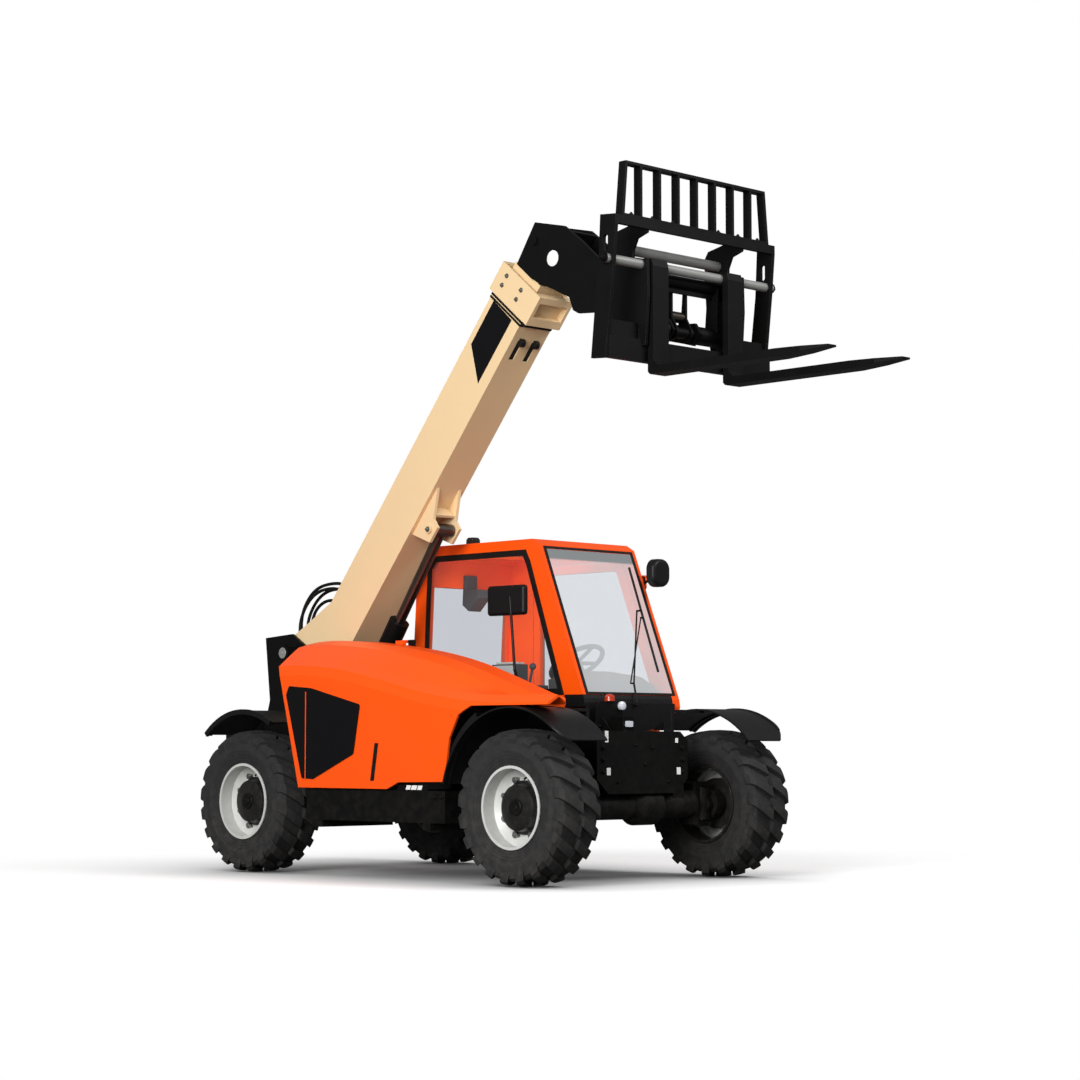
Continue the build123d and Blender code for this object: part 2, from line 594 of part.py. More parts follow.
BROW = CAB_ROOF - 35      # where the rake meets the roof
HEAD_Z = CAB_ROOF - 90    # top of the side windows and the door
SCREEN_TOP = CAB_ROOF - 48
CAB_OUTLINE = (
    (CAB_X0, CAB_FLOOR), (CAB_X1, CAB_FLOOR), (CAB_X1, 962), (NOSE_X, 962), (SCREEN_X, SCREEN_Z),
    (screen_x(BROW), BROW), (1470, CAB_ROOF), (560, CAB_ROOF), (478, BROW), (440, 1300), (440, 962),
    (CAB_X0, 962),
)
RIGHT_WINDOW = ((560, 1060), (1690, 1060), (1430, HEAD_Z - 55), (1400, HEAD_Z), (640, HEAD_Z),
                (600, HEAD_Z - 45))
DOOR_WINDOW = ((DOOR_REAR + 60, 720), (1640, 720), (1640, 1040), (1710, 1050), (1424, HEAD_Z - 85),
               (1405, HEAD_Z - 60), (DOOR_REAR + 60, HEAD_Z - 60))
DOOR_HOLE = ((DOOR_REAR, 660), (1700, 660), (1700, 990), (1795, 990), (1778, 1080), (1488, HEAD_Z - 45),
             (1455, HEAD_Z), (DOOR_REAR, HEAD_Z))


def make_cab():
    shell = plate_xz(CAB_OUTLINE, CAB_RIGHT, CAB_LEFT)
    room = plate_xz(
        ((560 + 12, CAB_FLOOR + 12), (1723, CAB_FLOOR + 12), (1723, 980), (1860, 980), (1838, COWL_TOP),
         (1500, CAB_ROOF - 69), (1440, CAB_ROOF - 55), (580, CAB_ROOF - 55), (520, CAB_ROOF - 75),
         (486, 1300), (486, 980), (572, 980)),
        CAB_RIGHT + 30, CAB_LEFT - DOOR_THICK)
    cab = shell - room
    right_window = rounded_plate(RIGHT_WINDOW, CAB_RIGHT - 1, CAB_RIGHT + 60, 14)
    rear_window = plate_yz(((CAB_RIGHT + POST, 1080), (CAB_LEFT - POST, 1080), (CAB_LEFT - POST, 1700),
                            (CAB_RIGHT + POST, 1700)), 400, 600)
    screen = box((1350, 1960), (CAB_RIGHT + SCREEN_POST, CAB_LEFT - SCREEN_POST - 4), (SCREEN_LOW, SCREEN_TOP))
    doorway = plate_xz(DOOR_HOLE, CAB_LEFT - 90, CAB_LEFT + 1)
    roof_light = box((700, 1330), (CAB_RIGHT + 120, CAB_LEFT - 120), (CAB_ROOF - 135, CAB_ROOF + 65))
    nose = box((CAB_X1, NOSE_X + 60), (CAB_RIGHT - 1, CAB_LEFT - 60), (900, COWL_TOP))
    foot = box((NOSE_X - 60, NOSE_X - 4), (CAB_LEFT - 59, CAB_LEFT), (905, 975))
    cab = cab - right_window - rear_window - screen - doorway - roof_light - nose + foot
    for z in DOOR_HINGES:
        low = z + 35 + SEAT
        leaf = box((DOOR_REAR - 50, DOOR_REAR - 10), (CAB_LEFT - 1, CAB_LEFT + 8), (low, low + 30))
        cab = cab + leaf + Pos(DOOR_REAR - 10, CAB_LEFT + 16, low) * Cylinder(11, 30, align=UPRIGHT)
    return cab


def make_cowl():
    """Black nose under the windshield, with the panel that hangs in front of it."""
    y0, y1 = CAB_RIGHT, CAB_LEFT - 60 - SEAT
    top = COWL_TOP - SEAT
    nose = plate_xz(((CAB_X1 + SEAT, 962), (NOSE_X, 962), (SCREEN_X, SCREEN_Z), (screen_x(top), top),
                     (CAB_X1 + SEAT, top)), y0, y1)
    cavity = plate_xz(((CAB_X1 - 1, 977), (1866, 977), (1842, COWL_TOP + 1), (CAB_X1 - 1, COWL_TOP + 1)),
                      y0 + 28, y1 - 20)
    face = NOSE_X + 12
    ring = [Line((face, y0, 985), (face, y0, 900)), ThreePointArc((face, y0, 900), (face, (y0 + y1) / 2, 818),
            (face, y1, 900)), Line((face, y1, 900), (face, y1, 985)), Line((face, y1, 985), (face, y0, 985))]
    panel = extrude(make_face(Wire(ring)), amount=13, dir=(-1, 0, 0))
    return (nose - cavity) + panel


def make_door():
    inset = 5.0
    outline = ((DOOR_REAR + inset, 660 + inset), (1700 - inset, 660 + inset), (1700 - inset, 995),
               (1787, 995), (1772, 1080), (1482, HEAD_Z - 50), (1450, HEAD_Z - inset),
               (DOOR_REAR + inset, HEAD_Z - inset))
    panel = plate_xz(outline, CAB_LEFT - DOOR_THICK, CAB_LEFT)
    window = plate_xz(DOOR_WINDOW, CAB_LEFT - 60, CAB_LEFT + 10)
    handle = box((1650, 1684), (CAB_LEFT - 1, CAB_LEFT + 25), (860, 980))
    grip = rod((1440, CAB_LEFT - DOOR_THICK - 22, 1400), (1440, CAB_LEFT - DOOR_THICK - 22, 1520), 9)
    lugs = [rod((1440, CAB_LEFT - DOOR_THICK - 22, z), (1560, CAB_LEFT - DOOR_THICK + 1, z), 8)
            for z in (1405, 1515)]
    knuckles = [Pos(DOOR_REAR - 10, CAB_LEFT + 16, z) * Cylinder(11, 70) for z in DOOR_HINGES]
    leaves = [box((DOOR_REAR - 10, DOOR_REAR + 50), (CAB_LEFT, CAB_LEFT + 8), (z - 35, z + 35))
              for z in DOOR_HINGES]
    return panel - window + handle + leaves + knuckles


def make_door_glass():
    return plate_xz(DOOR_WINDOW, CAB_LEFT - 24, CAB_LEFT - 24 + GLASS)


def make_windshield():
    rake = radians(SCREEN_RAKE)
    middle = (CAB_RIGHT + SCREEN_POST + CAB_LEFT - SCREEN_POST - 4) / 2
    slope = Plane(origin=(screen_x(SCREEN_LOW) - 4, middle, SCREEN_LOW), x_dir=(0, 1, 0),
                  z_dir=(cos(rake), 0, sin(rake)))
    width = CAB_LEFT - CAB_RIGHT - 2 * SCREEN_POST - 4
    run = (SCREEN_TOP - SCREEN_LOW) / cos(rake)
    return extrude(slope * Pos(0, run / 2) * Rectangle(width - 2 * SEAT, run - 24), amount=-GLASS)


def make_cab_glass():
    right = plate_xz(RIGHT_WINDOW, CAB_RIGHT + 10, CAB_RIGHT + 10 + GLASS)
    right = right & rounded_plate(RIGHT_WINDOW, CAB_RIGHT + 9, CAB_RIGHT + 20, 14)
    roof = box((700, 1330), (CAB_RIGHT + 120, CAB_LEFT - 120), (CAB_ROOF - 35, CAB_ROOF - 35 + GLASS))
    rear = box((467, 467 + GLASS), (CAB_RIGHT + POST + SEAT, CAB_LEFT - POST - SEAT), (1080 + SEAT, 1700 - SEAT))
    return right + roof + rear


def make_window_seals():
    """Black rubber round the right window and the windshield, on the outer faces."""
    y1 = CAB_RIGHT - SEAT
    window = make_face(Polyline(*[(x, y1 - 5, z) for x, z in RIGHT_WINDOW], close=True))
    ring = offset(window, amount=30, kind=Kind.INTERSECTION) - offset(window, amount=-6, kind=Kind.INTERSECTION)
    side = extrude(ring, amount=5, dir=(0, 1, 0))
    rake = radians(SCREEN_RAKE)
    middle = (CAB_RIGHT + CAB_LEFT - 4) / 2
    lift = SEAT + 4
    slope = Plane(origin=(screen_x(SCREEN_LOW) + lift * cos(rake), middle, SCREEN_LOW + lift * sin(rake)),
                  x_dir=(0, 1, 0), z_dir=(cos(rake), 0, sin(rake)))
    width = CAB_LEFT - CAB_RIGHT - 2 * SCREEN_POST - 4
    run = (SCREEN_TOP - SCREEN_LOW) / cos(rake)
    frame = slope * Pos(0, run / 2) * (Rectangle(width + 24, run + 8) - Rectangle(width - 14, run - 20))
    return side + extrude(frame, amount=-4)


def make_seat():
    cushion = box((700, 1160), (230, 690), (905, 1010))
    back = plate_xz(((610, 960), (715, 1000), (690, 1225), (605, 1225)), 250, 670)
    return cushion + back


def make_seat_base():
    return box((740, 1120), (280, 640), (CAB_FLOOR + 12, 905 - SEAT))


def make_dash():
    outline = ((1560, 800), (1723 - SEAT, 800), (1723 - SEAT, 982), (1800, 1010), (1800, 1090),
               (1740, 1148), (1640, 1172), (1540, 1150))
    dash = plate_xz(outline, CAB_RIGHT + 60, CAB_LEFT - 90)
    crown = plate_yz(((120, 799), (760, 799), (760, 1060), (680, 1140), (520, 1172), (300, 1172), (120, 1120)),
                     1500, 1810)
    foot = box((1600, 1700), (CAB_RIGHT + 61, CAB_LEFT - 120), (CAB_FLOOR + 12 + SEAT, 801))
    dash = (dash & crown) + foot
    return dash - WHEEL_POSE * Pos(0, 0, -COLUMN) * Cylinder(24 + SEAT, COLUMN, align=UPRIGHT)


def make_console():
    """Side console with its control box, and the pod on the rear wall."""
    side = box((900, 1450), (CAB_RIGHT + 32, CAB_RIGHT + 150), (CAB_FLOOR + 12, 1090))
    box_top = box((1080, 1290), (CAB_RIGHT + 50, CAB_RIGHT + 140), (1089, 1215))
    lever = rod((1340, CAB_RIGHT + 100, 1080), (1370, CAB_RIGHT + 100, 1190), 8)
    knob = Pos(1373, CAB_RIGHT + 100, 1200) * Sphere(20)
    # the rear wall leans: its inner face runs from x = 486 at z = 1300 to x = 520 at the roof
    lean = 34 / (CAB_ROOF - 75 - 1300)
    low, high = 486 + SEAT + lean * 300, 486 + SEAT + lean * 480
    pod = plate_xz(((low, 1600), (560, 1560), (645, 1640), (640, 1690), (high + 14, 1700), (high + 14, 1780),
                    (high, 1780)), 400, 500)
    return side + box_top + lever + knob + pod


def make_steering_wheel():
    ring = Torus(165, 14)
    column = Pos(0, 0, 1 - COLUMN) * Cylinder(24, COLUMN, align=UPRIGHT)
    spokes = [Rot(0, 0, turn) * Box(310, 22, 12) for turn in (0, 90)]
    return WHEEL_POSE * (ring + column + spokes)


def make_left_tank():
    return box((SILL_X0 + 40, SILL_X1 - 20), (FRAME_HALF + SEAT, 880), (SILL_Z0, CAB_FLOOR - SEAT))


# ---------------------------------------------------------------- boom
def boom_plate(points, y0, y1):
    return plate_xz(points, y0, y1)


def make_outer_boom():
    half = BOOM_WIDTH / 2
    tube = box((60, BOOM_LENGTH), (-half, half), (BOOM_BOTTOM, BOOM_TOP))
    bore = box((59, BOOM_LENGTH + 1), (-half + BOOM_WALL, half - BOOM_WALL),
               (BOOM_BOTTOM + BOOM_WALL, BOOM_TOP - BOOM_WALL))
    cheek = ((-70, BOOM_BOTTOM), (520, BOOM_BOTTOM), (520, BOOM_TOP), (500, BOOM_TOP), (290, -50), (60, 45),
             (0, PIVOT_BOSS), (-60, 45), (-100, -60), (-120, -260))
    cheeks = [boom_plate(cheek, y, y + 18) for y in (-half, half - 18)]
    boss = pin(0, 0, -half, half, PIVOT_BOSS)
    jaw = BOOM_BOTTOM - 50
    collar_out = box((BOOM_LENGTH - 180, BOOM_LENGTH + 5), (-half - 10, half + 10), (jaw, BOOM_TOP + 30))
    collar_out = collar_out - box((BOOM_LENGTH - 130, BOOM_LENGTH - 35), (-half + 12, half - 12), (jaw - 1, jaw + 38))
    collar_in = box((BOOM_LENGTH - 181, BOOM_LENGTH + 6), (-half, half), (BOOM_BOTTOM, BOOM_TOP))
    ear = ((LIFT_EYE_A - 110, BOOM_BOTTOM), (LIFT_EYE_A + 230, BOOM_BOTTOM), (LIFT_EYE_A + 66, LIFT_EYE_P + 10),
           (LIFT_EYE_A + 50, LIFT_EYE_P - 50), (LIFT_EYE_A - 58, LIFT_EYE_P - 50))
    side = LIFT_EYE_WIDTH / 2 + 1
    ears = [boom_plate(ear, y, y + 20) for y in (-side - 20, side)]
    brace = box((LIFT_EYE_A + 74, LIFT_EYE_A + 90), (-side - 1, side + 1), (BOOM_BOTTOM - 75, BOOM_BOTTOM + 1))
    slots = [box((BOOM_LENGTH - 440, BOOM_LENGTH - 310), (y - 19, y + 19), (BOOM_BOTTOM - 1, BOOM_BOTTOM + 9))
             for y in (-55, 55)]
    hooks = [pin(BOOM_LENGTH - 316, BOOM_BOTTOM - 10, y - 14, y + 14, 24) for y in (-55, 55)]
    tube = (tube - slots) + hooks + cheeks + boss + brace - bore
    pad_a = (BOOM_LENGTH - 160, BOOM_LENGTH - 20)
    inner_half = INNER_WIDTH / 2 + SEAT
    inner_low = INNER_TOP - INNER_DEPTH - SEAT
    pads = [box(pad_a, (-70, 70), (BOOM_BOTTOM + 1, inner_low)),
            box(pad_a, (-70, 70), (INNER_TOP + SEAT, BOOM_TOP - 1)),
            box(pad_a, (-half + 1, -inner_half), (inner_low + 60, INNER_TOP - 60)),
            box(pad_a, (inner_half, half - 1), (inner_low + 60, INNER_TOP - 60))]
    caps = [pin(LIFT_EYE_A, LIFT_EYE_P, y, y + 14, 25) for y in (-side - 33, side + 19)]
    shell = tube + (collar_out - collar_in) + ears + pads + caps
    return BOOM_POSE * (shell - pin(0, 0, -half - 1, half + 1, PIVOT_PIN + RUN))


def make_inner_boom():
    half = INNER_WIDTH / 2
    bottom = INNER_TOP - INNER_DEPTH
    outer = box((INNER_START, BOOM_LENGTH + 40), (-half, half), (bottom, INNER_TOP))
    bore = box((INNER_START - 1, BOOM_LENGTH + 41), (-half + INNER_WALL, half - INNER_WALL),
               (bottom + INNER_WALL, INNER_TOP - INNER_WALL))
    return BOOM_POSE * (outer - bore)


def make_head():
    half = HEAD_WIDTH / 2
    tip = BOOM_LENGTH
    start = tip + 40 + SEAT
    pivot_a, pivot_p = FORK_PIVOT_A, FORK_PIVOT_P
    outline = (
        (start, -188), (tip + 303, -161), (tip + 410, -373), (tip + 418, -540), (tip + 415, -720),
        (tip + 337, -808), (tip + 285, -930), (tip + 285, -1040), (tip + 297, -1165), (tip + 325, -1225),
        (pivot_a + 62, pivot_p + 20), (pivot_a + 40, pivot_p - 48), (pivot_a - 40, pivot_p - 48),
        (pivot_a - 66, pivot_p + 10), (tip + 215, -1190), (tip + 167, -889), (tip + 91, -781),
        (tip + 83, -737), (tip + 122, -664), (start, -345),
    )
    solid = boom_plate(outline, -half, half)
    web = half - HEAD_WALL
    slot = box((TILT_ANCHOR_A - 150, tip + 685), (-web, web), (-1600, -440))
    pocket = box((tip + 150, tip + 500), (-web, web), (-420, -215))
    head = solid - slot - pocket
    anchor = pin(TILT_ANCHOR_A, TILT_ANCHOR_P, -half + 1, half - 1, 20)
    bosses = [pin(tip + 219, -226, y, y + 12, 26) for y in (-half - 11, half - 1)]
    head = head - pin(pivot_a, pivot_p, -half - 1, half + 1, 30 + RUN)
    return BOOM_POSE * (head + anchor + bosses)


def cylinder_barrel(radius, length, width, bore, pin_radius, eye):
    barrel = rod((eye * 0.6, 0, 0), (length, 0, 0), radius)
    barrel = barrel + pin(0, 0, -width / 2, width / 2, eye)
    barrel = barrel - rod((eye + 25, 0, 0), (length + 1, 0, 0), bore)
    return barrel - pin(0, 0, -width, width, pin_radius + RUN)


def make_lift_barrel():
    return LIFT_POSE * cylinder_barrel(LIFT_BARREL_RADIUS, LIFT_BARREL_LENGTH, LIFT_EYE_WIDTH,
                                       LIFT_ROD_RADIUS + RUN, 25, 48)


def cylinder_rod(reach, length, radius, eye, width):
    bar = rod((reach - length, 0, 0), (reach - eye * 0.5, 0, 0), radius)
    return bar + pin(reach, 0, -width / 2, width / 2, eye)


def make_lift_rod():
    return LIFT_POSE * cylinder_rod(LIFT_REACH, LIFT_ROD_LENGTH, LIFT_ROD_RADIUS, LIFT_EYE_RADIUS,
                                    LIFT_EYE_WIDTH)


def make_tilt_barrel():
    return TILT_POSE * cylinder_barrel(TILT_BARREL_RADIUS, TILT_BARREL_LENGTH, 84, TILT_ROD_RADIUS + RUN, 20,
                                       TILT_BARREL_EYE)


def make_tilt_rod():
    return TILT_POSE * cylinder_rod(TILT_REACH, TILT_ROD_LENGTH, TILT_ROD_RADIUS, TILT_ROD_EYE, TILT_EYE_WIDTH)


# points along and square to the boom, then the hose's place across it
OUTER_LOOP = ((38.3, 65.2), (74, 126), (165, 190), (280, 203), (385, 172), (478, 92), (560, -16),
              (560, BOOM_TOP + SEAT))
MIDDLE_LOOP = ((49.0, 57.6), (92, 108), (170, 152), (280, 160), (378, 130), (462, 60), (532, -36),
               (532, BOOM_TOP + SEAT))
INNER_LOOP = ((50.0, 56.8), (110, 125), (225, 165), (345, 110), (410, -10), (410, BOOM_TOP + SEAT))
HOSES = ((OUTER_LOOP, 22.0), (MIDDLE_LOOP, -10.0), (MIDDLE_LOOP, 50.0), (INNER_LOOP, 82.0))


def bend_radii(points):
    """Radius of each bend, from the shorter of its two runs."""
    radii = []
    for a, b, c in zip(points, points[1:], points[2:]):
        runs = (hypot(b[0] - a[0], b[1] - a[1]), hypot(c[0] - b[0], c[1] - b[1]))
        turn = abs(atan2(c[1] - b[1], c[0] - b[0]) - atan2(b[1] - a[1], b[0] - a[0]))
        radii.append(0.45 * min(runs) * cos(turn / 2) / sin(turn / 2))
    return radii


def make_hoses():
    hoses = []
    for loop, y in HOSES:
        route = FilletPolyline(*[(a, y, p) for a, p in loop], radius=bend_radii(loop))
        start = Plane(origin=route @ 0, z_dir=route % 0)
        hoses.append(sweep(start * Circle(HOSE_RADIUS), path=route))
    return BOOM_POSE * Compound(hoses)


# ---------------------------------------------------------------- carriage
def make_carriage():
    end = ((25, 550), (135, 540), (135, 492), (115, 264), (80, -50), (60, -205), (-43, -198), (-18, 41),
           (10, 265))
    hook = ((124, 495), (123, 478), (50, 455), (22, 395), (20, 359), (125, 333), (130, 140), (112, -120),
            (50, -120), (-90, -120), (-126, 50), (-145, 370), (-146, 464), (-120, 505), (24, 535), (124, 535))
    end_slot = rounded_plate(((46, 352), (80, 352), (80, 440), (46, 440)), -700, 700, 14)
    plates = [plate_xz(end, y, y + PLATE) for y in (END_PLATE_Y - PLATE, -END_PLATE_Y)]
    hooks = [plate_xz(hook, y - 10, y + 10) for y in (HOOK_PLATE_Y, -HOOK_PLATE_Y)]
    inner = HOOK_PLATE_Y - 10
    spacer = HEAD_WIDTH / 2 + 3
    upper = pin(UPPER_TUBE_X, UPPER_TUBE_Z, -inner, inner, UPPER_TUBE)
    lower = [pin(0, 0, y0, y1, CROSS_TUBE) for y0, y1 in ((-inner, -spacer), (spacer, inner))]
    webs = [plate_xz(((-45, 0), (45, 0), (52, UPPER_TUBE_Z), (-22, UPPER_TUBE_Z)), y, y + 16)
            for y in (-WEB_Y - 16, WEB_Y)]
    skirt = box((5, 19), (-inner - 1, inner + 1), (UPPER_TUBE_Z - 60, UPPER_TUBE_Z))
    gussets = [box((51, 65), pair, (-113, 0)) for pair in
               ((-END_PLATE_Y + 1, -inner - 19), (inner + 19, END_PLATE_Y - 1))]
    through = pin(0, 0, -inner, inner, 30)
    beam = box((50, 95), (-END_PLATE_Y + 1, END_PLATE_Y - 1), (-205, -90))
    rail = box((RAIL_FRONT - 25, RAIL_FRONT), (-END_PLATE_Y + 1, END_PLATE_Y - 1), (RAIL_Z0, RAIL_Z1))
    lever_x = TILT_LEVER * cos(radians(TILT_LEVER_ANGLE))
    lever_z = TILT_LEVER * sin(radians(TILT_LEVER_ANGLE))
    lean = TILT_LEVER_ANGLE - 90
    lever = []
    for y in (-TILT_EYE_WIDTH / 2 - 16, TILT_EYE_WIDTH / 2 + 2):
        web = Rot(0, -lean, 0) * plate_xz(((-42, 0), (42, 0), (26, TILT_LEVER), (-26, TILT_LEVER)), y, y + 14)
        stay = plate_xz(((-42, 0), (10, 0), (0, 60), (0, UPPER_TUBE_Z), (-19, UPPER_TUBE_Z)), y, y + 14)
        lever += [web, stay, pin(0, 0, y, y + 14, 42), pin(lever_x, lever_z, y, y + 14, 26)]
    caps = [pin(lever_x, lever_z, y, y + 8, 18) for y in (-TILT_EYE_WIDTH / 2 - 23, TILT_EYE_WIDTH / 2 + 15)]
    frame = (plates[0] + plates[1] - end_slot) + hooks + upper + lower + through
    frame = frame + webs + skirt + gussets + beam + rail + lever + caps
    return CARRIAGE_POSE * (frame - pin(SHAFT_X, SHAFT_Z, -800, 800, SHAFT_RADIUS + SEAT))


def make_backrest():
    back = RAIL_FRONT - BAR_DEPTH
    first = -(BAR_COUNT - 1) / 2 * BAR_PITCH
    low = RAIL_Z1 + SEAT
    bars = [box((back, RAIL_FRONT), (first + i * BAR_PITCH - BAR_THICK / 2, first + i * BAR_PITCH + BAR_THICK / 2),
                (low, REST_TOP - 10)) for i in range(BAR_COUNT)]
    top = box((back, RAIL_FRONT), (-552, 552), (REST_TOP - 16, REST_TOP))
    foot = box((RAIL_FRONT - 25, RAIL_FRONT), (-580, 580), (low, low + 12))
    slant = ((-552, REST_TOP), (-536, REST_TOP), (-562, low), (-580, low))
    slants = [plate_yz([(s * y, z) for y, z in slant], back, RAIL_FRONT) for s in (-1, 1)]
    return CARRIAGE_POSE * (top + bars + foot + slants)


def make_fork_shaft():
    """The shaft the forks hang on, and the plain bar between the hook plates."""
    shaft = pin(SHAFT_X, SHAFT_Z, -END_PLATE_Y - 28, END_PLATE_Y + 28, SHAFT_RADIUS)
    inner = HOOK_PLATE_Y - 10 - SEAT
    return CARRIAGE_POSE * (shaft + pin(REAR_BAR_X, REAR_BAR_Z, -inner, inner, REAR_BAR))


def make_fork(side):
    heel = FORK_FACE - FORK_THICK
    tip = FORK_FACE + FORK_LENGTH
    outline = (
        (heel, SHAFT_Z + 30), (heel, FORK_BOTTOM + 14), (heel + 14, FORK_BOTTOM), (tip - 320, FORK_BOTTOM),
        (tip, FORK_BOTTOM + 22), (tip, FORK_BOTTOM + 32), (tip - 320, FORK_BOTTOM + FORK_THICK),
        (FORK_FACE + 30, FORK_BOTTOM + FORK_THICK), (FORK_FACE, FORK_BOTTOM + FORK_THICK + 30),
        (FORK_FACE, SHAFT_Z - 10), (FORK_FACE - 12, SHAFT_Z + 30),
    )
    half = FORK_WIDTH / 2
    blade = plate_xz(outline, -half, half)
    plan = plate_xy(((heel - 100, -half), (tip - 160, -half), (tip, -32), (tip, 32), (tip - 160, half),
                     (heel - 100, half)), -400, 500)
    eye = pin(SHAFT_X, SHAFT_Z, -half, half, 36)
    fork = (blade & plan) + eye - pin(SHAFT_X, SHAFT_Z, -half - 1, half + 1, SHAFT_RADIUS + RUN)
    return CARRIAGE_POSE * Pos(0, side * FORK_Y, 0) * fork


# ---------------------------------------------------------------- small pieces
def make_mirrors():
    # the left head is rounded like an egg and stays within the tyres' width
    head = Box(60, 150, 165)
    head = fillet(head.edges().filter_by(Axis.X), 62)
    head = fillet(head.faces().sort_by(Axis.X)[-1].edges(), 24)
    left = Pos(1750, CAB_LEFT - 20, 1758) * head
    left_arm = rod((1590, CAB_LEFT + 16, 1712), (1740, CAB_LEFT, 1722), 8)
    left_arm = left_arm + box((1545, 1600), (CAB_LEFT + SEAT, CAB_LEFT + 22), (1680, 1745))
    right = Pos(1330, -3, 1580) * Rot(0, 0, 3) * fillet(Box(300, 44, 175).edges(), 20)
    right_arm = rod((1415, 22, 1040), (1408, -20, 1180), 9) + rod((1408, -20, 1178), (1366, -18, 1600), 8)
    foot = box((1390, 1440), (CAB_RIGHT - 46, CAB_RIGHT - SEAT), (985, 1028)) + Pos(1415, 28, 1040) * Sphere(16)
    return (left + left_arm) + (right + right_arm + foot)


def make_lamps():
    """Beacon on the roof: a low foot and a round lens."""
    foot = Pos(600, 400, CAB_ROOF + SEAT) * Cylinder(52, 16, align=UPRIGHT)
    lens = Pos(600, 400, CAB_ROOF + SEAT + 15) * turned_z(((0, 0), (44, 0), (42, 46), (32, 58), (0, 60)))
    return foot + lens


def make_wiper():
    """Parallel-arm wiper at rest near the left post."""
    def on_screen(y, up, out):
        rake = radians(SCREEN_RAKE)
        x = SCREEN_X - up * sin(rake) + out * cos(rake)
        return x, y, SCREEN_Z + up * cos(rake) + out * sin(rake)

    pivot = (NOSE_X + 12 + SEAT, 451, 978)
    shaft = rod(pivot, (pivot[0] + 26, pivot[1], pivot[2]), 13)
    elbow = rod((pivot[0] + 20, pivot[1], pivot[2]), on_screen(480, 90, 22), 6)
    arms = [rod(on_screen(480, 88, 22), on_screen(690, 555, 22), 5),
            rod(on_screen(452, 88, 22), on_screen(706, 510, 22), 4)]
    tie = rod(on_screen(480, 88, 22), on_screen(452, 88, 22), 5)
    blade = rod(on_screen(741, 839, 17), on_screen(721, 167, 17), 7)
    link = rod(on_screen(688, 553, 22), on_screen(735, 560, 18), 6) + rod(on_screen(704, 510, 22), on_screen(734, 512, 18), 6)
    return shaft + elbow + arms + tie + blade + link


def build_parts():
    parts = {
        "frame": make_frame(),
        "front_panel": make_front_panel(),
        "boom_tower": make_tower(),
        "counterweight": make_counterweight(),
        "engine_block": make_engine(),
        "engine_tray": make_sill(),
        "engine_bay_wall": make_hood_wall(),
        "engine_hood": make_hood(),
        "hood_side_panel": make_side_panel(),
        "left_tank": make_left_tank(),
        "front_axle": axle_beam(WHEELBASE, -1),
        "rear_axle": axle_beam(0.0, 1),
        "front_steering_rod": steering_rod(WHEELBASE, -1),
        "rear_steering_rod": steering_rod(0.0, 1),
        "fenders": make_fenders(),
        "cab_frame": make_cab(),
        "cab_cowl": make_cowl(),
        "window_seals": make_window_seals(),
        "wiper": make_wiper(),
        "front_deck": make_front_deck(),
        "front_lamps": make_front_lamps(),
        "cab_door": make_door(),
        "door_glass": make_door_glass(),
        "windshield": make_windshield(),
        "cab_glass": make_cab_glass(),
        "seat": make_seat(),
        "cab_interior": make_seat_base() + make_dash() + make_console(),
        "steering_wheel": make_steering_wheel(),
        "mirrors": make_mirrors(),
        "work_lamps": make_lamps(),
        "outer_boom": make_outer_boom(),
        "inner_boom": make_inner_boom(),
        "boom_hoses": make_hoses(),
        "boom_head": make_head(),
        "lift_cylinder_barrel": make_lift_barrel(),
        "lift_cylinder_rod": make_lift_rod(),
        "tilt_cylinder_barrel": make_tilt_barrel(),
        "tilt_cylinder_rod": make_tilt_rod(),
        "fork_carriage": make_carriage(),
        "load_backrest": make_backrest(),
        "fork_shaft": make_fork_shaft(),
        "fork_right": make_fork(-1),
        "fork_left": make_fork(1),
    }
    tyre, rim, knuckle = make_tyre(), make_rim(), make_knuckle()
    for corner, x, side in CORNERS:
        inward = -1 if x else 1
        arm = knuckle if inward < 0 else mirror(knuckle, Plane.YZ)
        arm = arm if side > 0 else mirror(arm, Plane.XZ)
        parts[f"tyre_{corner}"] = wheel_place(x, side) * tyre
        parts[f"rim_{corner}"] = wheel_place(x, side) * rim
        parts[f"knuckle_{corner}"] = Pos(x, side * KINGPIN_Y, TYRE_RADIUS) * arm
    return parts


def main():
    os.makedirs("parts", exist_ok=True)
    for name, shape in build_parts().items():
        export_step(Pos(-ORIGIN_X, 0, 0) * shape, f"parts/{name}.step")
    print("rest: boom", BOOM_REST, "lift cylinder", round(LIFT_ANGLE, 2), round(LIFT_REACH, 1),
          "tilt cylinder", round(TILT_ANGLE, 2), round(TILT_REACH, 1), "origin", round(ORIGIN_X, 1))
    for name, loop in (("outer hose bends", OUTER_LOOP), ("middle hose bends", MIDDLE_LOOP),
                       ("inner hose bends", INNER_LOOP)):
        print(name, [round(r) for r in bend_radii(loop)])


if __name__ == "__main__":
    main()
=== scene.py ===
# %% [markdown]
# # A compact telehandler
# A telehandler is a small loader whose forks ride on a telescopic boom. This lesson dresses its
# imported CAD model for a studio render: first the camera, then the finishes, the hoses, and the
# small pieces that a CAD model leaves out, and last the studio. Each piece rides on one of the
# model's bodies, so it goes along when the boom lifts or a wheel turns.

